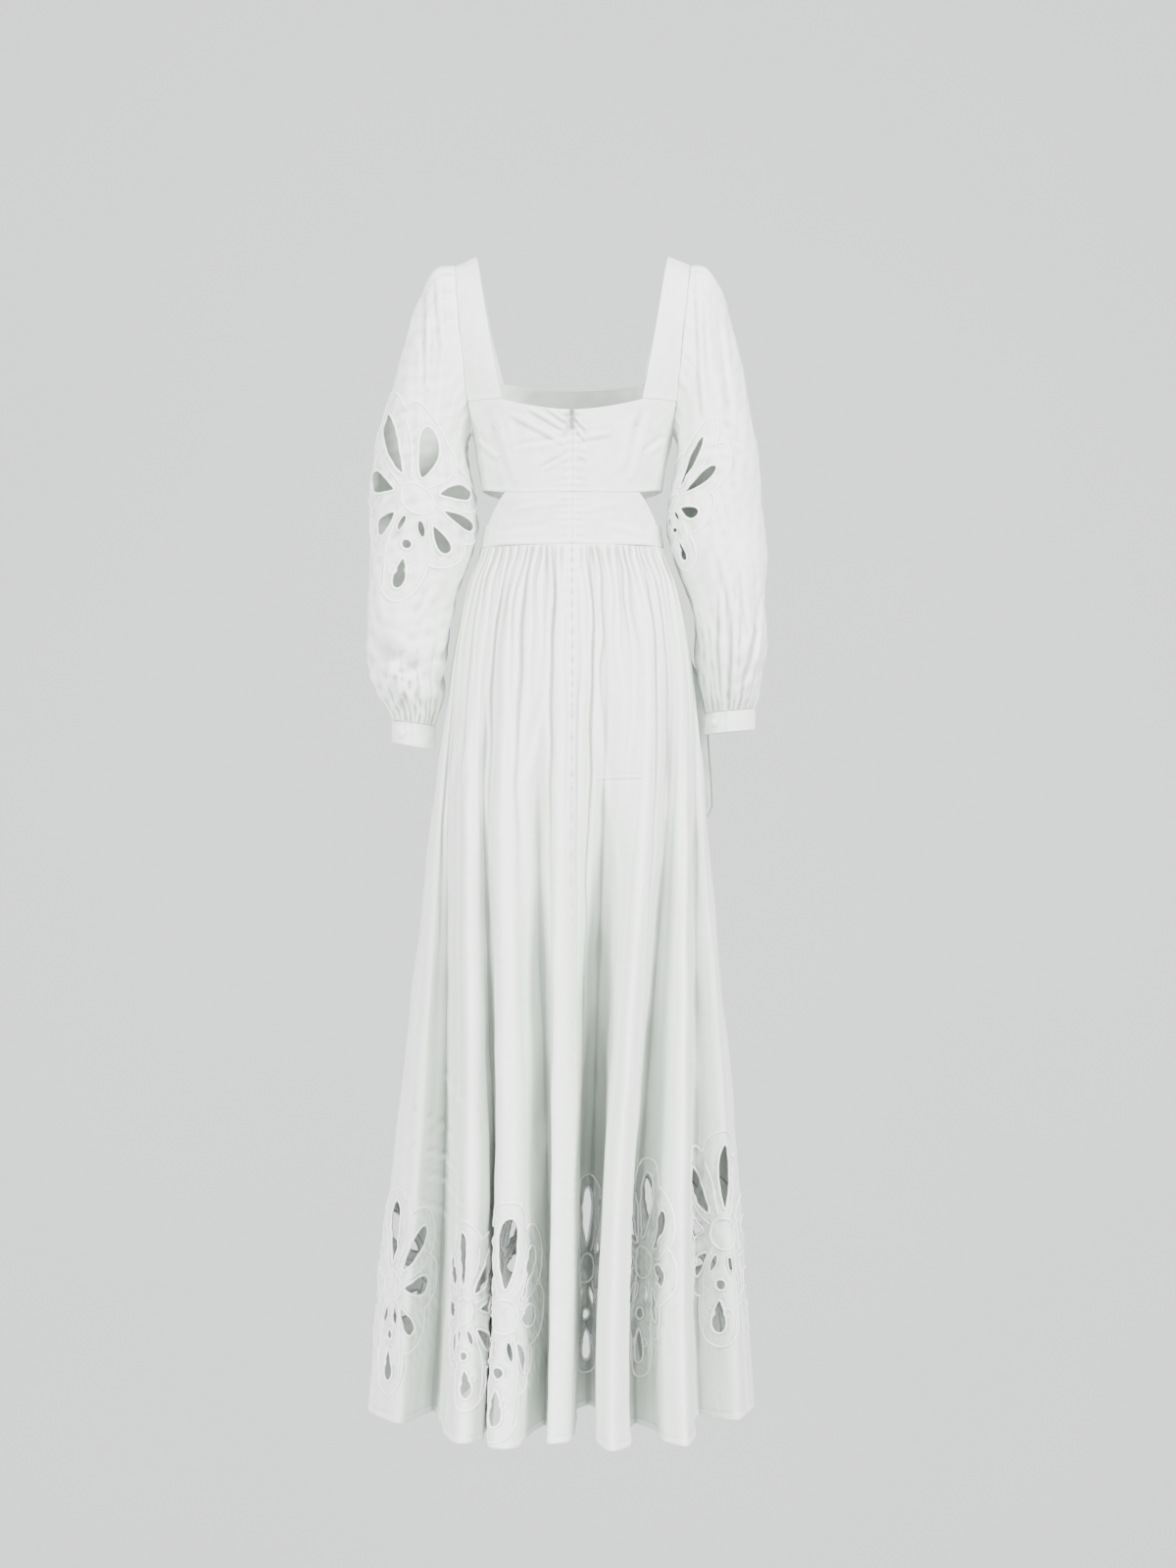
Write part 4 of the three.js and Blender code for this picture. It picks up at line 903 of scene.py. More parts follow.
class Finish:
    """A material in the making: its shader, its coordinates and the nodes that feed them."""

    def __init__(self, name):
        self.material = bpy.data.materials.new(name)
        self.material.use_nodes = True
        self.nodes = self.material.node_tree.nodes
        self.shader = self.nodes["Principled BSDF"]
        self.coords = self.nodes.new("ShaderNodeTexCoord").outputs["Object"]

    def fill(self, node, values, **fed):
        """Sets and feeds inputs of a node; in the names of fed ones an underscore stands for a space."""
        for name, value in values.items():
            node.inputs[name].default_value = value
        for name, output in fed.items():
            self.material.node_tree.links.new(output, node.inputs[name.replace("_", " ")])
        return node

    def noise(self, scale, detail=4.0, rough=0.55, coords=None):
        node = self.nodes.new("ShaderNodeTexNoise")
        values = {"Scale": scale, "Detail": detail, "Roughness": rough}
        return self.fill(node, values, Vector=coords or self.coords).outputs["Fac"]

    def bump(self, height, strength, distance, before=None):
        fed = {"Height": height, "Normal": before} if before else {"Height": height}
        values = {"Strength": strength, "Distance": distance}
        return self.fill(self.nodes.new("ShaderNodeBump"), values, **fed).outputs["Normal"]

    def ramp(self, fac, low, high, start=0.3, end=0.7):
        node = self.fill(self.nodes.new("ShaderNodeValToRGB"), {}, Fac=fac)
        for element, place, colour in zip(node.color_ramp.elements, (start, end), (low, high)):
            element.position = place
            element.color = (*colour, 1)
        return node.outputs["Color"]

    def between(self, fac, low, high):
        """A number that runs from low to high."""
        node = self.nodes.new("ShaderNodeMapRange")
        return self.fill(node, {"To Min": low, "To Max": high}, Value=fac).outputs["Result"]

    def shaded(self, colour, least):
        """Painted shade: a colour that is darker where its mesh is marked as hollow, and slightly lighter on
        ridges.
        """
        mark = self.nodes.new("ShaderNodeAttribute")
        mark.attribute_name = "hollow"
        shade = self.ramp(mark.outputs["Fac"], (1.03, 1.03, 1.03), (least, least, least), 0.42, 0.86)
        both = self.nodes.new("ShaderNodeMix")
        both.data_type = "RGBA"
        both.blend_type = "MULTIPLY"
        return self.fill(both, {"Factor": 1.0}, A=colour, B=shade).outputs["Result"]

    def weave(self, pitch):
        """Threads that cross in two directions."""
        both = self.nodes.new("ShaderNodeMath")
        both.operation = "MULTIPLY"
        for direction, socket in zip("XZ", both.inputs):
            wave = self.nodes.new("ShaderNodeTexWave")
            wave.bands_direction = direction
            self.fill(wave, {"Scale": 1 / pitch / 20, "Distortion": 0.6}, Vector=self.coords)
            self.material.node_tree.links.new(wave.outputs["Fac"], socket)
        return both.outputs["Value"]


def duller(colour, share):
    return tuple(part * share for part in colour)


def cotton_material(name, colour, threads=True, crumple_height=1.0):
    """Crisp poplin: crossing threads, fine crumples drawn out downwards, a slightly uneven white, and painted
    shade in its creases.
    """
    cloth = bpy.context.scene.dress_cloth
    finish = Finish(name)
    white = finish.ramp(finish.noise(9.0), duller(colour, 0.965), colour)
    rough = finish.between(finish.noise(60.0), cloth.roughness - 0.06, cloth.roughness + 0.06)
    drawn = finish.nodes.new("ShaderNodeMapping")
    finish.fill(drawn, {"Scale": (1.0, 1.0, 0.3)}, Vector=finish.coords)
    streaks = finish.noise(46.0, 3.0, coords=drawn.outputs["Vector"])
    relief = finish.bump(streaks, 0.45 * crumple_height, 0.005)
    relief = finish.bump(finish.noise(34.0, 3.0), 0.3 * crumple_height, 0.004, relief)
    relief = finish.bump(finish.noise(210.0, 4.0, 0.6), 0.2, 0.0012, relief)
    if threads:
        relief = finish.bump(finish.weave(cloth.thread_pitch), 0.1, 0.0004, relief)
    values = {"Specular IOR Level": 0.25, "Sheen Weight": 0.12, "Sheen Roughness": 0.6}
    finish.fill(finish.shader, values, Base_Color=finish.shaded(white, cloth.crease_shade), Roughness=rough,
                Normal=relief)
    return finish.material


def satin_material(name, colour):
    """Satin stitch: tight glossy thread, with painted shade where it is marked as hollow."""
    finish = Finish(name)
    stitch = finish.noise(900.0, 2.0)
    thread = finish.ramp(stitch, duller(colour, 0.95), colour)
    values = {"Roughness": 0.5, "Sheen Weight": 0.2, "Specular IOR Level": 0.4}
    finish.fill(finish.shader, values, Base_Color=finish.shaded(thread, 0.5),
                Normal=finish.bump(stitch, 0.35, 0.0006))
    return finish.material


def metal_material(name, colour, roughness):
    """Plated metal with fine wear."""
    finish = Finish(name)
    wear = finish.noise(420.0, 5.0)
    finish.fill(finish.shader, {"Metallic": 1.0}, Base_Color=finish.ramp(wear, duller(colour, 0.7), colour),
                Roughness=finish.between(wear, roughness - 0.08, roughness + 0.12),
                Normal=finish.bump(finish.noise(1500.0), 0.08, 0.0002))
    return finish.material


def wall_material(name, colour):
    """Matt paint."""
    finish = Finish(name)
    paint = finish.ramp(finish.noise(0.7, 2.0), duller(colour, 0.97), colour)
    finish.fill(finish.shader, {"Roughness": 0.9, "Specular IOR Level": 0.1}, Base_Color=paint,
                Normal=finish.bump(finish.noise(140.0), 0.05, 0.002))
    return finish.material


def shared(name, maker, *values):
    """The material of that name, made the first time it is wanted."""
    return bpy.data.materials.get(name) or maker(name, *values)


def poplin():
    return shared("white cotton poplin", cotton_material, tuple(bpy.context.scene.dress_cloth.colour))


def satin():
    return shared("satin stitch thread", satin_material, tuple(bpy.context.scene.dress_cords.colour))


# Settings a user may change

class DressCloth(bpy.types.PropertyGroup):
    thickness: FloatProperty(
        name="Cloth thickness", description="Thickness of the cotton as it shows", default=0.0007,
        min=0.0003, max=0.0016, unit="LENGTH", precision=4)
    colour: FloatVectorProperty(
        name="Cloth colour", description="White of the cotton", default=(0.78, 0.83, 0.775), size=3,
        min=0, max=1, subtype="COLOR")
    roughness: FloatProperty(
        name="Roughness", description="How matt the cotton is", default=0.82, min=0.2, max=1, subtype="FACTOR")
    thread_pitch: FloatProperty(
        name="Thread pitch", description="Distance between threads of the weave", default=0.00045,
        min=0.0002, max=0.002, unit="LENGTH", precision=5)
    # Strength of the shade painted into the cloth's creases
    crease_shade: FloatProperty(
        name="Crease shade", description="How dark the cloth gets in its creases", default=0.55, min=0.2, max=1,
        subtype="FACTOR")
    gather_depth: FloatProperty(
        name="Gather depth", description="How far the gathers stand out", default=1.0, min=0, max=2,
        subtype="FACTOR")


class DressCords(bpy.types.PropertyGroup):
    width: FloatProperty(
        name="Cord width", description="Width of the satin cords", default=0.0035, min=0.001, max=0.006,
        unit="LENGTH", precision=4)
    height: FloatProperty(
        name="Cord height", description="Thickness of the satin cords", default=0.0034, min=0.0008, max=0.005,
        unit="LENGTH", precision=4)
    colour: FloatVectorProperty(
        name="Thread colour", description="White of the satin thread", default=(0.93, 0.94, 0.93), size=3,
        min=0, max=1, subtype="COLOR")


class DressZip(bpy.types.PropertyGroup):
    colour: FloatVectorProperty(
        name="Metal colour", description="Grey of the zip's slider and tab", default=(0.62, 0.63, 0.64), size=3,
        min=0, max=1, subtype="COLOR")
    roughness: FloatProperty(
        name="Metal roughness", description="How dull the metal is", default=0.38, min=0.05, max=1,
        subtype="FACTOR")
    tooth_pitch: FloatProperty(
        name="Tooth pitch", description="Distance between the teeth of the zip", default=0.0015, min=0.001,
        max=0.004, unit="LENGTH", precision=4)


class DressStage(bpy.types.PropertyGroup):
    wall: FloatVectorProperty(
        name="Wall colour", description="Colour of the floor and the wall", default=(0.74, 0.75, 0.753), size=3,
        min=0, max=1, subtype="COLOR")
    light: FloatProperty(
        name="Light power", description="Power of the main soft light in watts", default=480, min=0, max=900)
    ambient: FloatProperty(
        name="Ambient light", description="Strength of the light from all round", default=0.85, min=0, max=4)
    distance: FloatProperty(
        name="Camera distance", description="Distance of the camera from the dress", default=3.8, min=1, max=10,
        unit="LENGTH")


# Bodice

BODICE_CREASES = (
    (54, -202, 4, -231, 2.4, 1.1), (34, -200, 3, -221, 2.0, 0.9), (78, -207, 6, -247, 3.2, 0.9),
    (-3, -214, -20, -229, 1.9, 1.0), (-3, -225, -19, -243, 1.9, 0.9), (-5, -240, -50, -232, 3.0, 0.7),
    (-4, -258, -22, -266, 2.2, 0.6), (4, -262, 40, -280, 2.6, 0.6), (6, -244, 74, -252, 3.5, 0.6),
    (96, -200, 70, -292, 5, 0.9), (-96, -200, -72, -290, 5, 0.9), (118, -236, 92, -262, 3.5, 1.1),
    (-118, -236, -90, -258, 3.5, 1.0), (14, -318, 78, -326, 3.5, 0.3),
    (-16, -326, -60, -318, 3.5, 0.25), (30, -352, 96, -358, 4, 0.3), (-40, -344, -94, -356, 4, 0.3),
)


def bodice_relief(panel, u, v, points):
    back = panel.name.startswith(("bodice_back", "midriff_back"))
    out = crumple(points, 11, 0.9, 62)
    if back:
        out += 1.7 * creases(points, BODICE_CREASES)
    out += crumple(points, 18, 0.3, 19)
    if not panel.name.startswith("strap"):
        for edge in (0, 1):
            out += seam_dip(np.abs(u - edge) * panel.wide, 1.1)
    out += seam_dip(v * panel.high, 1.0, 1.6)
    if back:
        far = np.abs(points[:, 0])
        pucker = np.sin(points[:, 2] * 2 * math.pi / 9.5 + 2 * np.sin(points[:, 2] / 17))
        out += 0.9 * (0.6 + pucker) * np.exp(-far / 8) + seam_dip(far, 1.2, 1.5)
    return out * mix(0.5, 1, np.minimum(1, (1 - v) * panel.high / 7))


def bodice_pieces():
    """Name, form, size in millimetres, grid, and cut size in metres of each piece."""
    for side, hand in SIDES:
        yield f"bodice_back_{side}", band_form(BACK, hand), (180, 105), (96, 56), (0.16, 0.115)
        yield f"midriff_back_{side}", midriff_form(BACK, hand), (175, 60), (84, 28), (0.16, 0.066)
        for where, face in FACES:
            yield f"strap_{where}_{side}", strap_form(face, hand), (42, 205), (14, 52), (0.046, 0.21)
    yield "bodice_front", mirrored(band_form(FRONT, LEFT)), (380, 150), (110, 44), (0.40, 0.16)
    yield "midriff_front", mirrored(midriff_form(FRONT, LEFT)), (350, 60), (110, 22), (0.31, 0.066)


class DRESS_OT_bodice(bpy.types.Operator):
    """Build the back and front bands, the four straps and the midriff"""
    bl_idname = "dress.bodice"
    bl_label = "Bodice"

    def execute(self, context):
        rows = []
        for name, form, (wide, high), (columns, lines), flat in bodice_pieces():
            strap = name.startswith("strap")
            edges = near_edges(wide, (0.8, 1.8)) if strap else near_edges(wide)
            panel = Panel(name, form, wide, high, spread(columns, edges), spread(lines, near_edges(high)),
                          bodice_relief)
            panel.build(poplin())
            if strap:
                rows.append(along_panel(panel, (0.84, 0.02), (0.84, 0.98), 90))
                continue
            if name.startswith("bodice"):
                rows.append(along_panel(panel, (0.01, 1 - 5 / high), (0.99, 1 - 5 / high), 160))
            rows.append(along_panel(panel, (0.01, 3 / high), (0.99, 3 / high), 160))
        on_dress(stitches("bodice_topstitching", rows, satin()), "cotton")
        return {"FINISHED"}


# Skirt

# Gathers at the waist, given one by one: place from one side seam to the other, width, height, reach
WAIST_GATHERS = {
    0: ((0.955, 0.012, 3.4, 150), (0.905, -0.011, 3.0, 90), (0.865, 0.014, 3.8, 230), (0.81, -0.012, 2.8, 110),
        (0.76, 0.015, 3.6, 190), (0.70, -0.012, 2.6, 80), (0.655, 0.016, 4.0, 260), (0.59, 0.012, 2.8, 100),
        (0.535, -0.015, 3.4, 170), (0.47, 0.014, 3.0, 120), (0.40, 0.016, 3.8, 240), (0.33, -0.013, 2.6, 100),
        (0.27, 0.016, 3.4, 180), (0.20, 0.013, 2.6, 90), (0.13, -0.015, 3.2, 210), (0.05, 0.013, 2.4, 100)),
    1: ((0.045, -0.012, 3.0, 110), (0.10, 0.013, 3.6, 210), (0.155, 0.013, 3.8, 330), (0.215, -0.012, 2.6, 90),
        (0.27, 0.014, 3.4, 160), (0.335, -0.015, 3.8, 230), (0.40, 0.013, 2.8, 100), (0.455, 0.015, 3.6, 190),
        (0.52, -0.013, 3.0, 120), (0.58, 0.015, 3.4, 170), (0.645, -0.013, 2.6, 90), (0.70, 0.016, 3.8, 250),
        (0.77, 0.013, 2.8, 110), (0.83, -0.015, 3.4, 190), (0.90, 0.013, 2.6, 100), (0.955, 0.012, 2.4, 120)),
    2: ((0.06, 0.013, 2.6, 110), (0.14, -0.015, 3.2, 170), (0.23, 0.014, 2.8, 120), (0.32, 0.016, 3.4, 210),
        (0.42, -0.014, 2.6, 100), (0.51, 0.016, 3.4, 190), (0.61, 0.014, 2.8, 110), (0.70, -0.016, 3.2, 180),
        (0.80, 0.014, 2.8, 130), (0.91, 0.015, 2.6, 120)),
    3: ((0.07, 0.014, 2.6, 110), (0.16, 0.016, 3.2, 180), (0.26, -0.014, 2.8, 110), (0.35, 0.016, 3.4, 220),
        (0.45, 0.014, 2.6, 100), (0.54, -0.016, 3.2, 170), (0.64, 0.014, 2.8, 120), (0.73, 0.016, 3.4, 200),
        (0.83, -0.014, 2.6, 110), (0.93, 0.014, 2.6, 100)),
}
# Long folds that run on down to the folds of the hem: place, width, height (hollows are negative), reach
LONG_FOLDS = {
    0: ((0.955, 0.03, 2.4, 520), (0.888, -0.013, -4.2, 340), (0.82, 0.045, 2.6, 420), (0.72, 0.022, -4.0, 560),
        (0.645, 0.036, 3.8, 640), (0.55, -0.014, -3.8, 520), (0.455, 0.036, 2.4, 500), (0.36, 0.018, -2.6, 420),
        (0.24, 0.04, 2.6, 480), (0.15, -0.016, -2.8, 520)),
    1: ((0.06, 0.03, 3.2, 640), (0.118, 0.012, -5.4, 780), (0.29, 0.1, 1.8, 520), (0.43, 0.042, 3.0, 620),
        (0.487, -0.013, -3.8, 480), (0.575, 0.014, -2.8, 520), (0.69, 0.04, 2.6, 540), (0.80, 0.016, -3.2, 580),
        (0.89, 0.034, 2.2, 460)),
    2: ((0.12, 0.04, 3.0, 520), (0.22, 0.018, -3.2, 480), (0.36, 0.044, 3.2, 560), (0.48, 0.018, -3.4, 520),
        (0.60, 0.042, 3.0, 560), (0.74, -0.018, -3.2, 500), (0.86, 0.036, 2.8, 520)),
    3: ((0.12, 0.04, 3.0, 540), (0.25, -0.018, -3.2, 500), (0.38, 0.042, 3.0, 560), (0.51, 0.018, -3.4, 520),
        (0.64, 0.044, 3.2, 560), (0.77, -0.018, -3.0, 480), (0.88, 0.036, 2.8, 520)),
}
SKIRT_CREASES = (
    (-26, -664, -104, -662, 1.4, 0.5), (126, -604, 142, -690, 4, 1.4),
    (140, -596, 154, -680, 4, 1.2), (150, -1120, 205, -1086, 4, 1.0),
    (138, -1160, 214, -1128, 4, 1.1), (130, -1196, 196, -1164, 4, 0.9), (150, -1230, 214, -1190, 4, 0.8),
    (110, -1090, 168, -1040, 5, 0.8), (30, -560, 66, -700, 6, 1.0), (-30, -580, -58, -760, 6, 1.0),
    (-96, -560, -118, -720, 6, 0.9), (96, -600, 124, -780, 6, 0.9), (-140, -900, -160, -1060, 7, 1.0),
    (70, -860, 84, -1040, 7, 0.9), (-70, -980, -84, -1120, 7, 0.8), (20, -1010, 34, -1130, 6, 0.7),
)


# The four skirt panels, in order round the body from the left side seam
SKIRT_PANELS = ("skirt_back_left", "skirt_back_right", "skirt_front_right", "skirt_front_left")


def flower_puckers(panel, u, v, points):
    """Small puckers where the stitching of a flower draws the cloth up."""
    near = np.zeros(len(points))
    for across, up, size, _ in FLOWERS.get(panel.name, ()):
        far = np.hypot((u - across) * panel.wide, v * panel.high - up) / size
        near = np.maximum(near, np.exp(-(far / 135) ** 6))
    if not near.any():
        return near
    return near * (crumple(points, 95, 0.7, 15) + crumple(points, 96, 0.8, 32))


def skirt_relief(index):
    waist = list(WAIST_GATHERS[index]) + uneven_rows(70 + index, 17, 0.2, (0.8, 2.0), (24, 70))
    middle_edge = (1, 0)[index] if index < 2 else None

    def relief(panel, u, v, points):
        below = WAIST_Z - points[:, 2]
        depth = bpy.context.scene.dress_cloth.gather_depth
        start = 1 - np.exp(-below / 2.5)
        # Over the zip the cloth only stands out, and neighbouring panels meet at their seams
        if middle_edge is None:
            clear = np.ones_like(u)
        else:
            clear = smoothstep(np.abs(u - middle_edge), 0.03, 0.1 - 0.06 * smoothstep(below, 140, 200))
        meet = smoothstep(np.minimum(u, 1 - u), 0, 0.03)
        wander = 0.011 * np.sin(2 * math.pi * (2.7 * u + below / 210))
        wander += 0.006 * np.sin(2 * math.pi * (6.1 * u - below / 95))
        folds = gathers(u + wander * meet, 1.7 * below, waist)
        folds = folds - 2.2 * np.exp(-below / 70)
        long_folds = gathers(u + 0.4 * wander * meet, below, LONG_FOLDS[index], 1.8)
        out = depth * start * clear * meet * (folds + long_folds * smoothstep(below, 0, 90))
        out += depth * 1.2 * start * (1 - clear) * np.exp(-below / 90)
        out += crumple(points, 80, 1.2, 130) * smoothstep(below, 150, 300)
        out += crumple(points * (1, 1, 0.45), 90, 0.35, 24) * smoothstep(below, 150, 300)
        out += 1.4 * creases(points, SKIRT_CREASES) * meet if index < 2 else 0
        for edge in (0, 1):
            gap = np.abs(u - edge) * panel.wide * mix(0.25, 1, smoothstep(below, 0, 500))
            if edge == middle_edge:
                ripple = np.sin(points[:, 2] * 2 * math.pi / 15 + 2.3 * np.sin(points[:, 2] / 31))
                out += 0.9 * (0.8 + ripple) * np.exp(-gap / 7) + seam_dip(gap, 1.3, 1.6)
            else:
                out += seam_dip(gap, 1.0, 1.8)
        out += seam_dip(below, 0.8, 1.3)
        out += 0.45 * smoothstep(7.2 - v * panel.high, 0, 0.8) + flower_puckers(panel, u, v, points)
        return out
    return relief


def hem_rows():
    """Heights of the skirt's grid rows as shares from the hem to the waist."""
    hem = (0, 1.2, 3, 5, 6.6, 7.4, 9)
    flowers = np.arange(13, 345, 6.2)
    middle = np.arange(flowers[-1] + 8, 900, 9)
    crease = (810, 811.6, 813.2, 814.8, 816.4)
    gathered = np.arange(middle[-1] + 5, SKIRT_HIGH - 3, 4.5)
    seam = SKIRT_HIGH - np.array([2.6, 1.6, 0.8, 0])
    return np.unique(np.concatenate([hem, flowers, middle, crease, gathered, seam])) / SKIRT_HIGH


def cloth_across(form, v):
    u = np.linspace(0, 1, 201)
    return float(np.linalg.norm(np.diff(form(u, np.full(201, v)), axis=0), axis=1).sum())


class DRESS_OT_skirt(bpy.types.Operator):
    """Build the four gathered skirt panels, their cutwork flowers, cords and hem"""
    bl_idname = "dress.skirt"
    bl_label = "Skirt"

    def execute(self, context):
        rows = []
        for index, name in enumerate(SKIRT_PANELS):
            form = skirt_form(index)
            wide = cloth_across(form, FLOWER_ROW / SKIRT_HIGH)
            columns = int(wide / (5.2 if index < 2 else 7.0))
            panel = Panel(name, form, wide, SKIRT_HIGH, spread(columns, near_edges(wide)), hem_rows(),
                          skirt_relief(index), reach=(-0.05, 1.05))
            obj = panel.build(poplin())
            cords = flower_cords(panel, satin())
            hem = cloth_across(form, 0) * MM
            mean = np.mean([cloth_across(form, v) for v in np.linspace(0, 1, 23)]) * MM
            low = HEM_STITCH / SKIRT_HIGH
            rows.append(along_panel(panel, (0.002, low), (0.998, low), 700))
        on_dress(stitches("hem_stitching", rows, satin()), "cotton")
        return {"FINISHED"}


# Sleeves

SLEEVE_CREASES = {
    "left": (
        (240, -530, 196, -506, 8, 2.2), (210, -504, 150, -534, 8, 2.2), (236, -590, 200, -526, 5, 2.0),
        (208, -590, 198, -530, 4, 1.6), (184, -592, 220, -536, 4, 1.6), (178, -588, 156, -536, 4.5, 1.8),
        (246, -566, 222, -520, 5, 1.4), (181, -44, 180, -178, 3.2, 2.4), (192, -56, 214, -138, 3.2, 1.8),
        (168, -30, 163, -120, 3, 1.6), (186, -120, 192, -250, 5, 1.2),
        (176, -60, 184, -190, 4, 1.0), (214, -120, 228, -260, 5, 0.9), (160, -96, 168, -220, 4, 0.9),
        (196, -540, 236, -530, 3, 1.2), (168, -420, 196, -470, 4, 1.0), (250, -380, 236, -470, 5, 0.8),
        (150, -240, 142, -330, 5, 1.0), (206, -40, 196, -130, 4, 0.8),
    ),
    "right": (
        (-244, -430, -216, -560, 3, 2.0), (-206, -440, -204, -566, 3, 2.2), (-188, -430, -192, -566, 3, 2.0),
        (-232, -460, -222, -566, 2.6, 1.8), (-176, -470, -186, -568, 2.6, 1.8), (-158, -20, -166, -210, 3, 2.0),
        (-190, -60, -198, -190, 4, 1.4), (-168, -56, -176, -180, 4, 1.0),
        (-196, -100, -206, -250, 5, 0.9), (-158, -90, -166, -210, 4, 0.8), (-186, -380, -204, -460, 4, 0.8),
        (-214, -400, -226, -500, 3.5, 1.0), (-198, -410, -204, -520, 3, 1.0), (-232, -380, -240, -470, 4, 0.8),
        (-150, -250, -142, -340, 5, 0.9), (-180, -300, -196, -360, 4, 0.6),
    ),
}


def sleeve_relief(side, face):
    seed = 100 + (5 if side == "left" else 0)
    head = uneven_rows(seed + face, 11, 0.3, (1.4, 3.0), (24, 80), 0.1, 0.9)
    cuff = uneven_rows(seed + face + 40, 13, 0.34, (2.6, 4.6), (26, 90), 0.04, 0.96)

    def relief(panel, u, v, points):
        from_head = (1 - v) * panel.high
        from_cuff = v * panel.high
        depth = bpy.context.scene.dress_cloth.gather_depth
        sides = np.sin(math.pi * np.clip(u, 0, 1)) ** 0.4
        out = depth * (1 - np.exp(-from_head / 2)) * gathers(u, from_head, head) * sides
        gathered = gathers(u, from_cuff, cuff) - 1.9 * np.exp(-from_cuff / 30)
        out += depth * (1 - np.exp(-from_cuff / 2)) * gathered * sides
        body = smoothstep(from_head, 6, 60) * smoothstep(from_cuff, 6, 40)
        out += body * (crumple(points, seed, 1.8, 95) + crumple(points, seed + 3, 0.5, 24))
        low = smoothstep(-points[:, 2], 400, 500)
        out += body * low * (crumple(points, seed + 9, 2.0, 44) + crumple(points, seed + 11, 0.7, 18))
        if face == BACK:
            out += 1.5 * creases(points, SLEEVE_CREASES[side]) * smoothstep(from_head, 3, 25) * sides
        out += seam_dip(from_head, 1.2, 1.6) + seam_dip(from_cuff, 0.9, 1.4)
        out += flower_puckers(panel, u, v, points)
        return out
    return relief


class DRESS_OT_sleeves(bpy.types.Operator):
    """Build both balloon sleeves with their cutwork flowers and cords"""
    bl_idname = "dress.sleeves"
    bl_label = "Sleeves"

    def execute(self, context):
        lines = spread(160, near_edges(SLEEVE_LONG))
        for side, _ in SIDES:
            for where, face in FACES:
                name = f"sleeve_{side}_{where}"
                panel = Panel(name, sleeve_form(side, face), SLEEVE_WIDE, SLEEVE_LONG, spread(72), lines,
                              sleeve_relief(side, face))
                obj = panel.build(poplin())
                parts = [flower_cords(panel, satin(), 0.0, 1.0)] if name in FLOWERS else []
        return {"FINISHED"}


# Cuffs

# Half the outline of a covered button: how far out and how high
BUTTON = ((3.9, -0.1), (4.9, 0.25), (5.4, 0.9), (5.3, 1.6), (4.7, 2.4), (3.7, 3.1), (2.5, 3.55), (1.2, 3.8))
BUTTON_TOP = 3.85


def cuff_relief(panel, u, v, points):
    middle = np.cos(math.pi * np.clip(2 * v - 1, -1, 1) / 2)
    return crumple(points, 140, 0.45, 24) + 0.8 + 0.25 * (middle - 0.5)


class DRESS_OT_cuffs(bpy.types.Operator):
    """Build both cuffs with their covered buttons"""
    bl_idname = "dress.cuffs"
    bl_label = "Cuffs"

    def execute(self, context):
        rows = []
        white = tuple(context.scene.dress_cloth.colour)
        button_cloth = shared("button cotton", cotton_material, white, True, 0.4)
        for side, _ in SIDES:
            cuff = CUFFS[side]
            wide = math.pi * (abs(cuff["out"] - cuff["in"]) / 2 + cuff["depth"])
            panel = Panel(f"cuff_{side}", cuff_form(side), wide, CUFF_HIGH, spread(120, near_edges(wide)),
                          spread(14), cuff_relief, reach=(-0.05, 1.05), thick=1.3)
            panel.build(poplin())
            for v in (0.09, 0.91):
                rows.append(along_panel(panel, (0.01, v), (0.99, v), 160))
            rows.append(along_panel(panel, (0.985, 0.1), (0.985, 0.9), 20))
            self.button(panel, side, button_cloth)
        on_dress(stitches("cuff_topstitching", rows, satin()), "cotton")
        return {"FINISHED"}

    def button(self, panel, side, material):
        """A dome of cloth over a mould, with a little pull at its rim and painted shade at its foot."""
        around = (360 + CUFFS[side]["button"] - CUFFS[side]["edge"]) / 360
        at, normal = panel.surface(np.array([(around, 0.5)]), panel.thick / 2)
        at, up = Vector(at[0]), Vector(normal[0])
        side_way = up.cross(Vector((0, 0, 1))).normalized()
        over = side_way.cross(up)
        count = 40
        vertices = []
        for radius, height in BUTTON:
            for k in range(count):
                angle = 2 * math.pi * k / count
                pull = 1 + 0.012 * math.sin(11 * angle)
                way = side_way * math.cos(angle) + over * math.sin(angle)
                vertices.append(tuple(at + way * radius * pull + up * height))
        last, top = len(vertices) - count, len(vertices)
        vertices.append(tuple(at + up * BUTTON_TOP))
        faces = []
        for low in range(0, last, count):
            for k in range(count):
                m = (k + 1) % count
                faces.append((low + k, low + count + k, low + count + m, low + m))
        faces += [(last + k, top, last + (k + 1) % count) for k in range(count)]
        faces.append(tuple(range(count)))
        obj = new_object(f"covered_button_{side}", np.array(vertices), faces, material)
        # Painted shade: the dome's foot, where it meets the cuff, is painted dark, the rest slightly lighter
        rim = np.full(len(vertices), 0.4)
        rim[:2 * count] = 1.0
        mark_painted_shade(obj, rim)
        on_dress(obj, "button_cloth", f"cuff_button_{side}")


# Zip

def tape_line():
    """How far back the middle of the solid tape lies at each of its heights."""
    solid = np.array([tuple(vertex.co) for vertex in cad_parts["zip_tape"].data.vertices]) / MM
    rows = []
    for level in np.unique(np.round(solid[:, 2], 1)):
        middle = solid[(np.abs(solid[:, 2] - level) < 0.2) & (np.abs(solid[:, 0]) < 1.5)]
        if len(middle):
            rows.append((level, middle[:, 1].mean()))
    return table("z y", *rows)


def tape_form():
    line = tape_line()

    def form(u, v):
        u, v = alike(u, v)
        z = mix(ZIP["bottom_z"], ZIP["top_z"], v)
        # Below the slider the tape lies a little further in, behind the seam's puckers
        inward = 1.4 * smoothstep(-z, 222, 240)
        return points_of(mix(ZIP["half"], -ZIP["half"], u), read(line, "z", z, "y") - inward, z)
    return form


def tape_relief(panel, u, v, points):
    return 0.12 * np.sin(points[:, 2] * 2 * math.pi / 2.4)


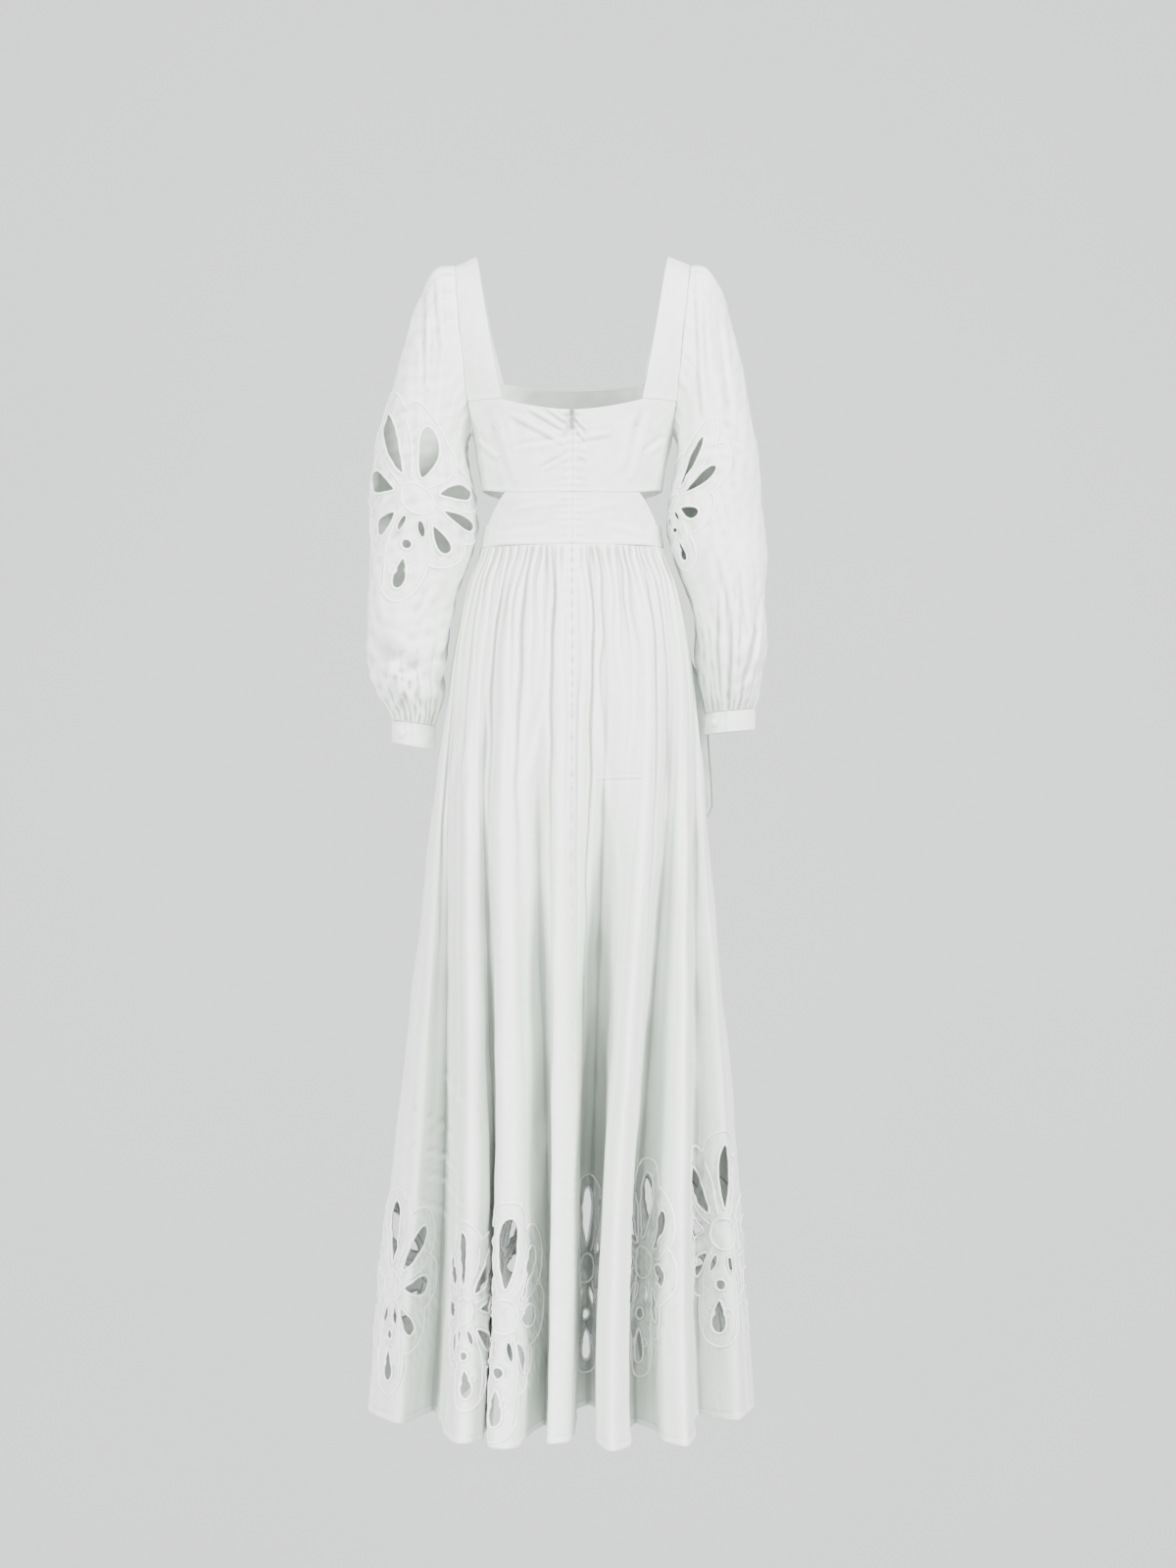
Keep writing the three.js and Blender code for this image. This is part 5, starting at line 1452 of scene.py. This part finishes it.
class DRESS_OT_zip(bpy.types.Operator):
    """Build the woven tape and teeth behind the back seam and finish the metal"""
    bl_idname = "dress.zip"
    bl_label = "Zip"

    def execute(self, context):
        panel = Panel("zip_tape", tape_form(), 2 * ZIP["half"], ZIP["top_z"] - ZIP["bottom_z"], spread(20),
                      spread(250), tape_relief, thick=ZIP["thick"])
        tape = shared("woven zip tape", cotton_material, (0.74, 0.75, 0.74), True, 0.3)
        obj = panel.build(tape, "zip_tape", shaded=False)
        teeth = on_dress(self.teeth(panel), "zip_tape")
        finish = context.scene.dress_zip
        metal = metal_material("grey plated zip metal", tuple(finish.colour), finish.roughness)
        for name in ("zip_slider", "zip_pull_tab"):
            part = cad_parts[name]
            part.data.materials.clear()
            part.data.materials.append(metal)
        return {"FINISHED"}

    def teeth(self, panel):
        """Two rows of coil teeth that mesh on the inside of the tape."""
        pitch = bpy.context.scene.dress_zip.tooth_pitch / MM
        sides = 6
        heights = np.arange(8, 300, pitch / 2) / panel.high
        places = np.stack([np.full(len(heights), 0.5), heights], axis=1)
        points, normals = panel.surface(places, -panel.thick / 2)
        vertices, faces = [], []
        for i, (point, normal) in enumerate(zip(points, normals)):
            hand = 1 if i % 2 else -1
            tooth = tube_faces(len(vertices), 3, sides)
            faces += [face[::-1] for face in tooth] if hand > 0 else tooth
            for x, size in ((-0.4, 0.42), (0.9, 0.42), (2.2, 0.3)):
                for k in range(sides):
                    angle = 2 * math.pi * k / sides
                    vertices.append(point - normal * (0.35 + size * math.cos(angle))
                                    + np.array((hand * x, 0, 0.36 * math.sin(angle))))
        return new_object("zip_coil_teeth", np.array(vertices), faces,
                          shared("coil tooth", cotton_material, (0.7, 0.71, 0.7), False, 0.2))


# Sash

def sash_relief(panel, u, v, points):
    return crumple(points, 160, 0.8, 60) * smoothstep(1 - v, 0.02, 0.12) + crumple(points, 161, 0.2, 18)


class DRESS_OT_sash(bpy.types.Operator):
    """Build the sash end that hangs at the right front"""
    bl_idname = "dress.sash"
    bl_label = "Sash end"

    def execute(self, context):
        left, right, top = 0.02, 0.98, 0.96
        panel = Panel("sash_end", sash_form, 80, 360, spread(34, (left, right)), spread(110), sash_relief)
        panel.us = panel.us[(panel.us >= left) & (panel.us <= right)]
        obj = panel.build(poplin())
        # Corded edge: down one side, along the round end and up the other side
        down, along = np.linspace(top, 0, 90), np.linspace(left, right, 60)[1:-1]
        edge = np.concatenate([
            np.stack([np.full(90, left), down], axis=1),
            np.stack([along, np.zeros(58)], axis=1),
            np.stack([np.full(90, right), down[::-1]], axis=1),
        ])
        points, normals = panel.surface(edge)
        cords = Cords("satin_cords_sash_end")
        sizes = context.scene.dress_cords
        cords.add(points, normals, sizes.width / MM * 0.9, sizes.height / MM * 0.9, False)
        rim = cords.build(satin())
        return {"FINISHED"}


# Stage

# Lens and sensor in millimetres, and the camera's place in metres
CAMERA = {"lens": 68.4, "sensor": 36, "x": -0.02, "z": -0.672}
# Each light's place and size in metres, and its share of the main light's power; all face one place
LIGHTS = (
    ("window light", (-2.7, 2.8, 1.1), 1.3, 1.0),
    ("ceiling light", (0.4, 2.2, 2.6), 2.2, 0.36),
    ("fill light", (3.0, 3.2, -0.7), 2.6, 0.8),
)
LIT_PLACE = (0, 0, -0.75)
# Floor and wall in millimetres
SWEEP = {"floor": -3300, "wall": -5200, "bend": 900, "half": 9000, "front": 7000, "level_to": 3000, "top": 4500}


class DRESS_OT_stage(bpy.types.Operator):
    """Make the pale wall and floor, the soft light and the camera"""
    bl_idname = "dress.stage"
    bl_label = "Stage"

    def execute(self, context):
        stage = context.scene.dress_stage
        self.sweep(stage)
        self.lights(context, stage)
        camera = bpy.data.cameras.new("camera")
        camera.lens = CAMERA["lens"]
        camera.sensor_width = CAMERA["sensor"]
        holder = bpy.data.objects.new("camera", camera)
        holder.location = (CAMERA["x"], stage.distance, CAMERA["z"])
        holder.rotation_euler = (math.radians(90), 0, math.radians(180))
        context.collection.objects.link(holder)
        context.scene.camera = holder
        return {"FINISHED"}

    def sweep(self, stage):
        """Floor and wall in one sheet with a wide round corner, far enough to walk round the dress."""
        floor, wall, bend, half = (SWEEP[name] for name in ("floor", "wall", "bend", "half"))
        line = [(SWEEP["front"], floor), (SWEEP["level_to"], floor)]
        for angle in np.radians(np.linspace(0, 90, 25)):
            line.append((wall + bend - bend * math.sin(angle), floor + bend - bend * math.cos(angle)))
        line += [(wall, 0), (wall, SWEEP["top"])]
        vertices = [(x, y, z) for y, z in line for x in (-half, half)]
        faces = [(2 * i, 2 * i + 1, 2 * i + 3, 2 * i + 2) for i in range(len(line) - 1)]
        paint = wall_material("pale painted wall", tuple(stage.wall))
        new_object("floor_and_wall", np.array(vertices), faces, paint)

    def lights(self, context, stage):
        for name, place, size, share in LIGHTS:
            lamp = bpy.data.lights.new(name, "AREA")
            lamp.energy = stage.light * share
            lamp.size = size
            obj = bpy.data.objects.new(name, lamp)
            obj.location = place
            obj.rotation_euler = (Vector(LIT_PLACE) - Vector(place)).to_track_quat("-Z", "Y").to_euler()
            context.collection.objects.link(obj)
        world = bpy.data.worlds.new("soft studio")
        world.use_nodes = True
        back = world.node_tree.nodes["Background"]
        back.inputs["Color"].default_value = (0.97, 0.985, 1.0, 1)
        back.inputs["Strength"].default_value = stage.ambient
        context.scene.world = world


OPERATORS = (DRESS_OT_bodice, DRESS_OT_skirt, DRESS_OT_sleeves, DRESS_OT_cuffs, DRESS_OT_zip, DRESS_OT_sash,
             DRESS_OT_stage)


class DRESS_PT_panel(bpy.types.Panel):
    """Lists the dress's pieces and settings"""
    bl_idname = "DRESS_PT_panel"
    bl_label = "Dress"
    bl_space_type = "VIEW_3D"
    bl_region_type = "UI"
    bl_category = "Dress"

    def draw(self, context):
        scene = context.scene
        for group, names in (
            (scene.dress_cloth,
             ("thickness", "colour", "roughness", "thread_pitch", "crease_shade", "gather_depth")),
            (scene.dress_cords, ("width", "height", "colour")),
            (scene.dress_zip, ("colour", "roughness", "tooth_pitch")),
            (scene.dress_stage, ("wall", "light", "ambient", "distance")),
        ):
            for name in names:
                self.layout.prop(group, name)
        for operator in OPERATORS:
            self.layout.operator(operator.bl_idname)


GROUPS = (("dress_cloth", DressCloth), ("dress_cords", DressCords), ("dress_zip", DressZip),
          ("dress_stage", DressStage))


def register():
    for name, group in GROUPS:
        bpy.utils.register_class(group)
        setattr(bpy.types.Scene, name, PointerProperty(type=group))
    for operator in OPERATORS:
        bpy.utils.register_class(operator)
    bpy.utils.register_class(DRESS_PT_panel)


def unregister():
    bpy.utils.unregister_class(DRESS_PT_panel)
    for operator in reversed(OPERATORS):
        bpy.utils.unregister_class(operator)
    for name, group in reversed(GROUPS):
        delattr(bpy.types.Scene, name)
        bpy.utils.unregister_class(group)


def main():
    register()
    bpy.ops.dress.stage()
    bpy.ops.dress.bodice()
    bpy.ops.dress.skirt()
    bpy.ops.dress.sleeves()
    bpy.ops.dress.cuffs()
    bpy.ops.dress.zip()
    bpy.ops.dress.sash()


if __name__ == "__main__":
    main()
